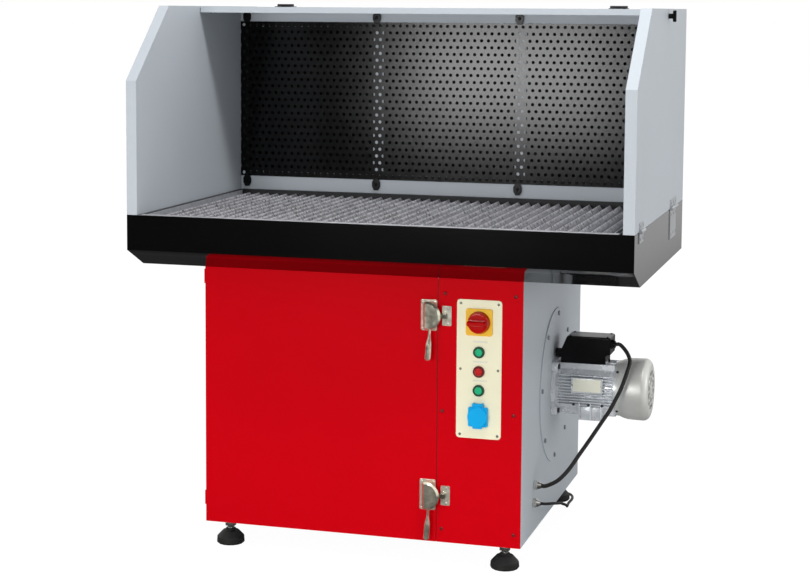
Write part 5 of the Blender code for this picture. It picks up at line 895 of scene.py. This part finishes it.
# %% The fold's node tree
def folded_sheet_tree():
    tree, given = group_with("Folded sheet", (("Geometry", "Geometry"), ("Flank width", "Float"),
                                              ("Fold run", "Float"), ("Fold height", "Float"),
                                              ("Finish", "Material")))
    place = node_in(tree, "GeometryNodeInputPosition").outputs[0]
    parts = node_in(tree, "ShaderNodeSeparateXYZ", links=((0, place),))
    flanks = maths(tree, "DIVIDE", parts.outputs["X"], given["Flank width"])
    height = maths(tree, "MULTIPLY", maths(tree, "PINGPONG", flanks, 1.0), given["Fold height"])
    run = maths(tree, "MULTIPLY", flanks, given["Fold run"])
    folded = node_in(tree, "ShaderNodeCombineXYZ", links=(
        ("X", run), ("Y", parts.outputs["Y"]), ("Z", height))).outputs[0]
    moved = through(tree, "GeometryNodeSetPosition", given["Geometry"], links=(("Position", folded),))
    return end_with(tree, through(tree, "GeometryNodeRealizeInstances", moved), given["Finish"])


FOLDED_SHEET = folded_sheet_tree()
print("fold's tree has", len(FOLDED_SHEET.nodes), "nodes")

# %% [markdown]
# The three grate panels are alike, so one is made and copied. Its holes have six sides,
# because there are thousands of them and each is only a few millimetres wide.

# %% Grate
RIDGES = 14
RIDGE_PITCH = 0.02851
VALLEY = 0.8514
RIDGE_TOP = 0.8728
GRATE_NEAR = -0.4297
GRATE_FAR = 0.2647
CELLS_PER_FLANK = 2
CELLS_ALONG = 73
GRATE_HOLE_RADIUS = 0.0032
GRATE_HOLE_SIDES = 6
GRATE_ROW_SHIFT = 0.0
GRATE_PANEL_WIDTH = 0.40013
fold_run = RIDGE_PITCH / 2
fold_height = RIDGE_TOP - VALLEY
flank = math.hypot(fold_run, fold_height)
cell_across = flank / CELLS_PER_FLANK
cell_along = (GRATE_FAR - GRATE_NEAR) / CELLS_ALONG
grate_cell = hole_cell("grate_cell", cell_across, cell_along, GRATE_HOLE_RADIUS, GRATE_HOLE_SIDES)
fold = (FOLDED_SHEET, {"Flank width": flank, "Fold run": fold_run, "Fold height": fold_height,
                       "Finish": GRATE_ZINC})
grate_sheet = sheet_mesh("grate_sheet", grate_cell, 2 * RIDGES * CELLS_PER_FLANK, CELLS_ALONG,
                         cell_across, cell_along, GRATE_ROW_SHIFT, GRATE_ZINC, (fold,))
grate_solid = thickened("grate_solid", grate_sheet, SHEET_THICKNESS)
print("one grate panel", len(grate_solid.polygons), "faces")
grate_middle = (GRATE_NEAR + GRATE_FAR) / 2
for number, side in enumerate(PANELS):
    mesh = grate_solid.copy()
    mesh.transform(Matrix.Translation(((number - 1) * GRATE_PANEL_WIDTH, grate_middle, VALLEY)))
    add("grate_" + side, mesh, GRATE_ZINC, replaced=["grate_panel_" + side])
take_away(wall_cell, grate_cell)
for mesh in (grate_solid, wall_sheet):
    bpy.data.meshes.remove(mesh)

# %% [markdown]
# ## Screws, bolts and rivets
# The same small heads come back all over the table. Each kind could be modelled at each
# place, but it is turned once from a short profile, from its foot to its middle, and a node
# tree puts a copy at every place of a list, square on its surface.

# %% Small heads
HEAD_ANGLE = 40
PAN_SHARES = ((1.0, 0.35), (0.86, 0.8), (0.6, 1.0), (0.42, 1.0), (0.42, 0.35), (0.0, 0.3))
HEXAGON_SHARES = ((1.0, 0.86), (0.88, 1.0), (0.0, 1.0))
RIVET_SHARES = ((1.0, 0.2), (0.85, 0.65), (0.5, 0.92), (0.0, 1.0))
# the profile as shares of the radius and the height, the sides, and how deep the root sits
PAN = (PAN_SHARES, 12, 0.0006)
HEXAGON = (HEXAGON_SHARES, 6, 0.0006)
RIVET = (RIVET_SHARES, 12, 0.0005)


def lathe_into(work, profile, sides, place, turn=0.0, is_open=None):
    """A shape turned round an axis, from a profile of (way along the axis, radius) pairs."""
    comes_back = profile[0] == profile[-1]
    rings = []
    for along, radius in profile[:-1] if comes_back else profile:
        pairs = circle(radius, sides, turn) if radius else [(0.0, 0.0)]
        rings.append([work.verts.new(place(along, *pair)) for pair in pairs])
    if comes_back:
        rings.append(rings[0])
    for number, (low, high) in enumerate(zip(rings, rings[1:])):
        for step in range(sides):
            if is_open and is_open(number, step):
                continue
            corners = [low[step % len(low)], low[(step + 1) % len(low)],
                       high[(step + 1) % len(high)], high[step % len(high)]]
            work.faces.new(list(dict.fromkeys(corners)))
    return rings


def head(name, form, radius, height):
    """A head that stands on the origin and points up, with a root that sits in its surface."""
    shares, sides, root = form
    profile = [(-root, 0.0), (-root, radius)] + [(height * up, radius * out) for out, up in shares]
    work = bmesh.new()
    lathe_into(work, profile, sides, lambda along, x, y: (x, y, along))
    return put_in_scene(name, smooth_below(mesh_from(work, name), HEAD_ANGLE))


# the form, the radius and the height
HEADS = {name: head(name, *form) for name, form in {
    "cover_screw": (PAN, 0.0050, 0.0026), "plate_screw": (PAN, 0.0034, 0.0014),
    "leaf_screw": (PAN, 0.0036, 0.0009), "lid_screw": (PAN, 0.0032, 0.0016),
    "cowl_screw": (PAN, 0.0038, 0.0024), "fan_bolt": (HEXAGON, 0.0062, 0.0042),
    "lug_bolt": (HEXAGON, 0.0070, 0.0050), "small_bolt": (HEXAGON, 0.0038, 0.0030),
    "rivet": (RIVET, 0.0030, 0.0012)}.items()}


def set_of_heads_tree():
    tree, given = group_with("Set of heads", (("Geometry", "Geometry"), ("Head", "Object"),
                                              ("Finish", "Material")))
    axis = node_in(tree, "GeometryNodeInputNamedAttribute", (("Name", "axis"),), data_type="FLOAT_VECTOR")
    turn = node_in(tree, "FunctionNodeAlignRotationToVector", links=(("Vector", axis.outputs["Attribute"]),),
                   axis="Z")
    copies = copies_of(tree, given["Head"], given["Geometry"], (("Rotation", turn.outputs[0]),))
    return end_with(tree, copies, given["Finish"])


SET_OF_HEADS = set_of_heads_tree()


def heads(name, kind, places, finish, body="frame"):
    """One piece with a head at each place, which is a point and the direction the head points in."""
    mesh = bpy.data.meshes.new(name)
    mesh.from_pydata([point for point, axis in places], [], [])
    directions = mesh.attributes.new("axis", "FLOAT_VECTOR", "POINT")
    directions.data.foreach_set("vector", [value for point, axis in places for value in axis])
    item = put_in_scene(name + "_places", mesh)
    with_tree(item, SET_OF_HEADS, {"Head": HEADS[kind], "Finish": finish})
    add(name, plain_mesh(item), finish, body)


print(len(HEADS), "kinds of heads turned")

# %% [markdown]
# Six painted screws hold the control cover, and six small grey ones the control plate. The
# fan's plate is bolted on with eight hexagon bolts on a circle, and the motor with four. A
# function gives the places on a circle, and only those of the screws are listed.

# %% Heads on the cover, the plate and the fan
TO_FRONT = (0, -1, 0)
TO_RIGHT = (1, 0, 0)
TO_LEFT = (-1, 0, 0)
UP = (0, 0, 1)
CABINET_FACE = -0.3385
FAN_CENTRE = (0.0795, 0.404)
FAN_OUTER = 0.3653
FAN_BOLTS = 8
FAN_BOLT_CIRCLE = 0.1914
FAN_BOLT_START = -5
QUARTERS = (45, 135, 225, 315)
LUG_CIRCLE = 0.083
LUG_FACE = 0.3814
COVER_SCREWS = ((0.163, 0.702), (0.343, 0.702), (0.158, 0.404), (0.341, 0.404),
                (0.158, 0.102), (0.344, 0.101))
PLATE_SCREW_COLUMNS = (0.2043, 0.3003)
PLATE_SCREW_ROWS = (0.6808, 0.5152, 0.3497)


def round_axis(radius, degrees):
    """A point on a circle round the fan's axis, from its radius and its angle."""
    angle = math.radians(degrees)
    return FAN_CENTRE[0] + radius * math.cos(angle), FAN_CENTRE[1] + radius * math.sin(angle)


fan_bolt_angles = [FAN_BOLT_START + step * 360 / FAN_BOLTS for step in range(FAN_BOLTS)]
heads("cover_screws", "cover_screw", [((x, CABINET_FACE, z), TO_FRONT) for x, z in COVER_SCREWS],
      RED_SCREW)
heads("plate_screws", "plate_screw", [((x, PLATE_FRONT, z), TO_FRONT) for x in PLATE_SCREW_COLUMNS
                                      for z in PLATE_SCREW_ROWS], GREY_SCREW)
heads("fan_bolts", "fan_bolt", [((FAN_OUTER, *round_axis(FAN_BOLT_CIRCLE, angle)), TO_RIGHT)
                                for angle in fan_bolt_angles], BOLT_GREY)
heads("motor_bolts", "lug_bolt", [((LUG_FACE, *round_axis(LUG_CIRCLE, angle)), TO_RIGHT)
                                  for angle in QUARTERS], DARK_STEEL)
print("heads set on the front and the fan")

# %% [markdown]
# The leaves of the wings' hinges have countersunk screws, and the latches are riveted on.
# The latch rivets move with the door, so they ride on it. Their places could be typed, but
# the box round each latch plate gives how far apart they sit from side to side.

# %% Hinge screws and rivets
LEAF_FACE = 0.6523
FRONT_LEAF_ROW = [-0.3525 + shift for shift in (-0.020, 0.020)]
REAR_LEAF_ROW = [0.2135 + shift for shift in (-0.043, 0.0, 0.043)]
LEAF_SCREWS = {
    "tray": [(y, 0.862) for y in FRONT_LEAF_ROW] + [(y, z) for y in REAR_LEAF_ROW for z in (0.864, 0.812)],
    "wing": [(y, 0.8935) for y in FRONT_LEAF_ROW] + [(y, 0.8945) for y in REAR_LEAF_ROW]}
LATCH_HEIGHTS = {"upper": 0.646, "lower": 0.188}
LATCH_PLATE = 0.0033
LATCH_RIVET_INSET = 0.0055
LATCH_RIVET_RISE = 0.034
KEEPER_PLATE = 0.0023
KEEPER_RIVET_SHIFT = 0.003
KEEPER_RIVET_RISE = 0.0195
for side, edge, direction in (("left", -LEAF_FACE, TO_LEFT), ("right", LEAF_FACE, TO_RIGHT)):
    for carrier, body in (("tray", "frame"), ("wing", "wing_" + side)):
        heads(f"{carrier}_leaf_screws_{side}", "leaf_screw",
              [((edge, y, z), direction) for y, z in LEAF_SCREWS[carrier]], BOLT_GREY, body=body)
for level, height in LATCH_HEIGHTS.items():
    low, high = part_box("latch_base_" + level)
    heads(f"latch_rivets_{level}", "rivet", [
        ((x, CABINET_FACE - LATCH_PLATE, height + z), TO_FRONT)
        for x in (low[0] + LATCH_RIVET_INSET, high[0] - LATCH_RIVET_INSET)
        for z in (-LATCH_RIVET_RISE, LATCH_RIVET_RISE)], CHROME, body="door")
    low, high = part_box("latch_keeper_" + level)
    middle = (low[0] + high[0]) / 2 + KEEPER_RIVET_SHIFT
    heads(f"keeper_rivets_{level}", "rivet", [
        ((middle, CABINET_FACE - KEEPER_PLATE, height + z), TO_FRONT)
        for z in (-KEEPER_RIVET_RISE, KEEPER_RIVET_RISE)], CHROME)
print("heads set on the hinges and the latches")

# %% [markdown]
# ## Motor
# A fan-cooled motor of this size is cast in aluminium. Its cooling fins stand level on both
# sides and upright on top and below, so that the casting comes out of a four-part mould. The
# fins end on a circle, so each one's reach is worked out from that circle.

# %% Fins and shields
MOTOR_Y, MOTOR_Z = FAN_CENTRE
MOTOR_START = 0.3656
MOTOR_BODY = (0.3831, 0.5294)
MOTOR_END = 0.5414
MOTOR_SIDES = 64
SHAFT_RADIUS = 0.0126
CORE_RADIUS = 0.0655
FIN_REACH = 0.0775
FIN_ROOT = 0.004
FIN_THICKNESS = 0.0024
FIN_PITCH = 0.0078
SIDE_FINS = 11
TOP_CLEAR = 0.038
LUG_RADIUS = 0.0130
LUG_SIDES = 20
CASTING_PROFILE = [
    (MOTOR_START, SHAFT_RADIUS), (MOTOR_START, 0.0800), (0.3735, 0.0800), (0.3747, 0.0770), (0.3747, 0.0718),
    (0.3831, 0.0700), (0.3850, CORE_RADIUS), (0.5270, CORE_RADIUS), (0.5294, 0.0722), (MOTOR_END, 0.0722),
    (MOTOR_END, SHAFT_RADIUS), (MOTOR_START, SHAFT_RADIUS)]
LUG_PROFILE = [(MOTOR_START + 0.0002, 0.0), (MOTOR_START + 0.0002, LUG_RADIUS), (0.3806, LUG_RADIUS),
               (0.3816, 0.0120), (0.3816, 0.0)]
BOX_PAD = ((0.3882, 0.5002), (MOTOR_Y - 0.032, MOTOR_Y + 0.032), (MOTOR_Z + 0.050, MOTOR_Z + 0.0735))


def round_x(y, z):
    """Places a turned shape's points round an axis along X through this point."""
    return lambda along, first, second: (along, y + first, z + second)


def box_into(work, *spans):
    for vert in bmesh.ops.create_cube(work, size=1.0)["verts"]:
        vert.co = Vector([span[0] if share < 0 else span[1] for span, share in zip(spans, vert.co)])


def closed_mesh(work, name):
    """A mesh whose faces all point outwards."""
    bmesh.ops.recalc_face_normals(work, faces=work.faces)
    return smooth_below(mesh_from(work, name), SHEET_ANGLE)


def fins_into(work):
    thick = FIN_THICKNESS / 2
    for step in range(SIDE_FINS):
        offset = (step - (SIDE_FINS - 1) / 2) * FIN_PITCH
        reach = math.sqrt(FIN_REACH ** 2 - offset ** 2)
        root = math.sqrt(CORE_RADIUS ** 2 - offset ** 2) - FIN_ROOT
        for side in (-1, 1):
            level = sorted((MOTOR_Y + side * root, MOTOR_Y + side * reach))
            box_into(work, MOTOR_BODY, level, (MOTOR_Z + offset - thick, MOTOR_Z + offset + thick))
            if side < 0 or abs(offset) > TOP_CLEAR:
                upright = sorted((MOTOR_Z + side * root, MOTOR_Z + side * reach))
                box_into(work, MOTOR_BODY, (MOTOR_Y + offset - thick, MOTOR_Y + offset + thick), upright)


def motor_mesh():
    work = bmesh.new()
    lathe_into(work, CASTING_PROFILE, MOTOR_SIDES, round_x(MOTOR_Y, MOTOR_Z), turn=0.5)
    for angle in QUARTERS:
        lathe_into(work, LUG_PROFILE, LUG_SIDES, round_x(*round_axis(LUG_CIRCLE, angle)), turn=0.5)
    fins_into(work)
    box_into(work, *BOX_PAD)
    return closed_mesh(work, "motor_casting")


add("motor_casting", motor_mesh(), CAST_ALUMINIUM, replaced=["motor_body"])
print("motor cast with", SIDE_FINS, "fins on each side")

# %% [markdown]
# Between the fins lie a raised seat for the rating plate, which is left blank, and two
# rails for feet under the body, with small ribs. All are plain blocks with slightly rounded
# edges, so one function makes any set of them.

# %% Seat of the rating plate, the plate and the foot rails
SEAT_FRONT = MOTOR_Y - 0.0782
SEAT = ((0.4205, 0.5035), (SEAT_FRONT, MOTOR_Y - 0.060), (0.3985, 0.4395))
SEAT_EDGE = 0.0012
THIN_RISE = 0.0006
SEAT_RIVETS = (0.4226, 0.5016)
SEAT_RIVET_SINK = 0.0004
SEAT_MIDDLE = 0.4199
RATING_PLATE = ((0.4250, 0.4995), (SEAT_FRONT - THIN_RISE, SEAT_FRONT + SEAT_RIVET_SINK), (0.4030, 0.4368))
THIN_EDGE = 0.0003
BLOCK_ANGLE = 50
RAIL_LOW = MOTOR_Z - 0.0815
RAIL_TOP = MOTOR_Z - 0.045
RAIL_SPAN = (0.4385, 0.5005)
RAIL_SPREAD = 0.045
RAIL_HALF = 0.012
RIB_STARTS = (0.4385, 0.4690, 0.4970)
RIB_HEIGHTS = (RAIL_LOW + 0.002, MOTOR_Z - 0.030)
RIB_WIDTH = 0.0035
RIB_SPREAD = 0.0615
RIB_HALF = 0.006
RAIL_BOLTS = (0.4255, 0.4655, 0.5010)
RAIL_BOLT_REACH = 0.0655
RAIL_BOLT_HEIGHT = 0.3655


def both_sides(spread, half):
    """The spans of two like blocks on either side of the motor's middle."""
    return [(MOTOR_Y + side * spread - half, MOTOR_Y + side * spread + half) for side in (-1, 1)]


def edged_boxes(name, boxes, bevel, segments=2):
    work = bmesh.new()
    for spans in boxes:
        box_into(work, *spans)
    item = put_in_scene(name, closed_mesh(work, name))
    edges = item.modifiers.new("edges", "BEVEL")
    edges.width = bevel
    edges.segments = segments
    return smooth_below(plain_mesh(item), BLOCK_ANGLE)


rails = [(RAIL_SPAN, across, (RAIL_LOW, RAIL_TOP)) for across in both_sides(RAIL_SPREAD, RAIL_HALF)]
ribs = [((start, start + RIB_WIDTH), across, RIB_HEIGHTS)
        for start in RIB_STARTS for across in both_sides(RIB_SPREAD, RIB_HALF)]
add("motor_seats", edged_boxes("motor_seats", [SEAT] + rails + ribs, SEAT_EDGE), CAST_ALUMINIUM)
add("rating_plate_blank", edged_boxes("rating_plate_blank", [RATING_PLATE], THIN_EDGE), PLATE_CREAM)
heads("rating_plate_rivets", "rivet",
      [((x, SEAT_FRONT - SEAT_RIVET_SINK, SEAT_MIDDLE), TO_FRONT) for x in SEAT_RIVETS], BRIGHT_STEEL)
heads("rail_bolts", "small_bolt",
      [((x, MOTOR_Y - RAIL_BOLT_REACH, RAIL_BOLT_HEIGHT), TO_FRONT) for x in RAIL_BOLTS], DARK_STEEL)
print("one seat,", len(rails), "rails and", len(ribs), "ribs")

# %% [markdown]
# The cowl is drawn from one sheet: a narrow collar slides over the motor's end shield, the
# wall widens a little, and the end is rounded into a flat face. The slots for the air could
# be cut out afterwards, but it is simpler to leave out the faces where they are.

# %% Cowl
COWL_START = 0.5364
COWL_END = 0.6216
COLLAR_RADIUS = 0.0740
COWL_RADIUS = 0.0825
COWL_ROUND = 0.018
COWL_MOUTH = ((0.0, COLLAR_RADIUS), (0.005, COLLAR_RADIUS), (0.012, 0.0772), (0.027, COWL_RADIUS - 0.0012))
COWL_SHEET = 0.0015
COWL_SIDES = 96
ROUND_STEPS = 8
SLOT_BANDS = ((0.052, 0.040), (0.034, 0.022))
END_RADII = (0.058, *SLOT_BANDS[0], *SLOT_BANDS[1], 0.008)
SIDES_PER_SLOT = COWL_SIDES // 12
BRIDGE_SIDES = 2
COWL_SCREW_SINK = 0.0002
COWL_SCREW_INSET = 0.003


def cowl_profile():
    points = [(COWL_START + way, radius) for way, radius in COWL_MOUTH]
    points.append((COWL_END - COWL_ROUND, COWL_RADIUS))
    for step in range(1, ROUND_STEPS + 1):
        angle = math.pi / 2 * step / ROUND_STEPS
        points.append((COWL_END - COWL_ROUND + COWL_ROUND * math.sin(angle),
                       COWL_RADIUS - COWL_ROUND + COWL_ROUND * math.cos(angle)))
    return points + [(COWL_END, radius) for radius in END_RADII]


def cowl_mesh():
    work = bmesh.new()
    profile = cowl_profile()

    def in_slot(number, step):
        band = (profile[number][1], profile[number + 1][1])
        return band in SLOT_BANDS and step % SIDES_PER_SLOT < SIDES_PER_SLOT - BRIDGE_SIDES

    rings = lathe_into(work, profile, COWL_SIDES, round_x(MOTOR_Y, MOTOR_Z), 0.5, in_slot)
    work.faces.new(rings[-1])
    return closed_mesh(work, "cowl_sheet")


add("fan_cowl_drawn", thickened("fan_cowl_drawn", cowl_mesh(), COWL_SHEET), COWL_PAINT,
    replaced=["fan_cowl"])
heads("cowl_screws", "cowl_screw", [
    ((COWL_START + COWL_SCREW_INSET, *round_axis(COLLAR_RADIUS - COWL_SCREW_SINK, angle)),
     (0, math.cos(math.radians(angle)), math.sin(math.radians(angle)))) for angle in QUARTERS], DARK_STEEL)
print("cowl drawn")

# %% [markdown]
# ## Small plates and seams
# Above each push button sits a narrow bar that would carry its word, and it is left blank. A black rubber
# strip lies in the seam between the door and the cover and seals the filter room. The terminal box has a lid
# with four screws. A black strip, like foam tape, lies between the rear panels and their frame, and its black
# is painted shade that darkens the outer holes. All are thin blocks, made like the seats.

# %% Bars, gasket, lid screws and tape
BAR_PLACES = ((0.2540, 0.5853), (0.2545, 0.5350), (0.2550, 0.4870))
BAR_HALF_WIDTH = 0.0185
BAR_HALF_HEIGHT = 0.0021
BAR_SINK = 0.0003
SEAM_PLAY = 0.0002
GASKET_DEPTHS = (CABINET_FACE + 0.0009, CABINET_FACE + 0.0021)
GASKET_END = 0.002
GASKET_EDGE = 0.0002
LID_TOP = 0.5436
LID_SCREWS = [(x, y) for x in (0.4090, 0.5080) for y in (0.0485, 0.1105)]
TAPE_DEPTHS = (0.28625, 0.28645)
TAPE_EDGE = 0.00002
TAPE_LONG = (-0.6060, 0.6200)
TAPE_HEIGHTS = (0.9340, 1.3550)
bars = [((x - BAR_HALF_WIDTH, x + BAR_HALF_WIDTH), (PLATE_FRONT - THIN_RISE, PLATE_FRONT + BAR_SINK),
         (z - BAR_HALF_HEIGHT, z + BAR_HALF_HEIGHT)) for x, z in BAR_PLACES]
door_low, door_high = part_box("door")
seam = (door_high[0] + SEAM_PLAY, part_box("control_cover")[0][0] - SEAM_PLAY)
gasket = (seam, GASKET_DEPTHS, (door_low[2] + GASKET_END, door_high[2] - GASKET_END))
tapes = [(TAPE_LONG, TAPE_DEPTHS, (0.9205, 0.9335)), (TAPE_LONG, TAPE_DEPTHS, (1.3555, 1.3685)),
         ((-0.6205, -0.5990), TAPE_DEPTHS, TAPE_HEIGHTS), ((0.6015, 0.6200), TAPE_DEPTHS, TAPE_HEIGHTS)]
add("label_bars_blank", edged_boxes("label_bars_blank", bars, THIN_EDGE), BAR_GREY)
add("seam_gasket", edged_boxes("seam_gasket", [gasket], GASKET_EDGE), BLACK_RUBBER)
heads("box_lid_screws", "lid_screw", [((x, y, LID_TOP), UP) for x, y in LID_SCREWS], DARK_STEEL)
# the black strips stand in for the shade behind the outer holes
add("wall_foam_tape", edged_boxes("wall_foam_tape", tapes, TAPE_EDGE, 1), BLACK_TAPE_AS_SHADE)
take_away(*HEADS.values())
print("bars, gasket, lid screws and tape in place")

# %% [markdown]
# ## Light and floor
# A small soft lamp hangs above and in front of the table. A wide one stands low in front,
# to the left of the camera, and its mirror image gives the rear wall its glow. A weaker one
# lights the table's right side. A ready-made sky would put its own picture in the tray.

# %% Lamps
# the name, the place, what it points at, the width and height, and the power
LAMPS = (("overhead_softbox", (1.0, -1.12, 3.6), (0.0, -0.1, 0.9), (0.45, 0.45), 46.0),
         ("front_softbox", (-0.88, -4.6, 1.10), (0.0, 0.0, 1.0), (1.15, 0.70), 49.0),
         ("side_softbox", (4.2, 0.6, 1.2), (0.5, 0.0, 0.8), (1.0, 1.0), 13.0))
for name, place, target, (width, height), power in LAMPS:
    lamp_data = bpy.data.lights.new(name, "AREA")
    lamp_data.shape = "RECTANGLE"
    lamp_data.size = width
    lamp_data.size_y = height
    lamp_data.energy = power
    lamp = put_in_scene(name, lamp_data)
    lamp.location = place
    lamp.rotation_euler = (Vector(target) - Vector(place)).to_track_quat("-Z", "Y").to_euler()
print(len(LAMPS), "lamps")

# %% [markdown]
# The room gives a dim even light. What shiny pieces mirror in it is nearly black in front
# and light at the sides and behind, so that the glossy tray stays black where it faces the
# front. The camera sees plain white. A real studio does this with black cloth and white card.

# %% Room
WHITE = (1.0, 1.0, 1.0, 1.0)
ROOM_LIGHT = 0.58
FRONT_SHARE = 0.05
REAR_SHARE = 0.85
FRONT_TO_SIDE = (-0.95, -0.35)


def mixed(tree, share, first, second):
    """Two shaders mixed, with the second one where the share is 1."""
    return node_in(tree, "ShaderNodeMixShader", links=((0, share), (1, first), (2, second))).outputs["Shader"]


world = bpy.data.worlds.new("studio")
bpy.context.scene.world = world
world.use_nodes = True
room = world.node_tree
room.nodes.clear()
rays = node_in(room, "ShaderNodeLightPath").outputs
direction = node_in(room, "ShaderNodeTexCoord").outputs["Generated"]
parts = node_in(room, "ShaderNodeSeparateXYZ", links=(("Vector", direction),))
strength = map_range(room, parts.outputs["Y"], FRONT_TO_SIDE, (FRONT_SHARE, REAR_SHARE), "SMOOTHSTEP")
ambient = node_in(room, "ShaderNodeBackground", (("Color", WHITE), ("Strength", ROOM_LIGHT)))
mirror = node_in(room, "ShaderNodeBackground", (("Color", WHITE),), (("Strength", strength),))
white = node_in(room, "ShaderNodeBackground", (("Color", WHITE),))
seen = maths(room, "MAXIMUM", rays["Is Camera Ray"], rays["Is Transmission Ray"])
unseen = mixed(room, rays["Is Glossy Ray"], ambient.outputs["Background"], mirror.outputs["Background"])
sky = mixed(room, seen, unseen, white.outputs["Background"])
node_in(room, "ShaderNodeOutputWorld", links=(("Surface", sky),))
print("room lit")

# %% [markdown]
# The floor is pale and matt, and keeps a soft shadow round the feet. Shiny pieces mirror it
# dark, and lighter to the table's right, where the tray's side catches it. The camera sees
# it mostly as plain white, so that it runs into the background without a line.

# %% Floor
FLOOR_SIZE = 60.0
FLOOR_COLOUR = (0.80, 0.80, 0.79, 1.0)
MIDDLE_TO_RIGHT = (0.8, 1.6)
SIDE_SHARE = 0.62
FLOOR_GLOW = 1.12
GLOW_SHARE = 0.86
half = FLOOR_SIZE / 2
corners = [(-half, -half, 0), (half, -half, 0), (half, half, 0), (-half, half, 0)]
floor_mesh = bpy.data.meshes.new("floor")
floor_mesh.from_pydata(corners, [], [(0, 1, 2, 3)])
put_in_scene("floor", floor_mesh)
pale = bpy.data.materials.new("pale_floor")
pale.use_nodes = True
tree = pale.node_tree
tree.nodes.clear()
rays = node_in(tree, "ShaderNodeLightPath").outputs
matt = node_in(tree, "ShaderNodeBsdfDiffuse", (("Color", FLOOR_COLOUR),))
place = node_in(tree, "ShaderNodeNewGeometry").outputs["Position"]
parts = node_in(tree, "ShaderNodeSeparateXYZ", links=((0, place),))
strength = map_range(tree, parts.outputs["X"], MIDDLE_TO_RIGHT, (FRONT_SHARE, SIDE_SHARE))
dim = node_in(tree, "ShaderNodeEmission", links=(("Strength", strength),))
glow = node_in(tree, "ShaderNodeEmission", (("Strength", FLOOR_GLOW),))
share = maths(tree, "MULTIPLY", rays["Is Camera Ray"], GLOW_SHARE)
mirrored = mixed(tree, rays["Is Glossy Ray"], matt.outputs["BSDF"], dim.outputs["Emission"])
surface = mixed(tree, share, mirrored, glow.outputs["Emission"])
node_in(tree, "ShaderNodeOutputMaterial", links=(("Surface", surface),))
floor_mesh.materials.append(pale)
print("floor laid")
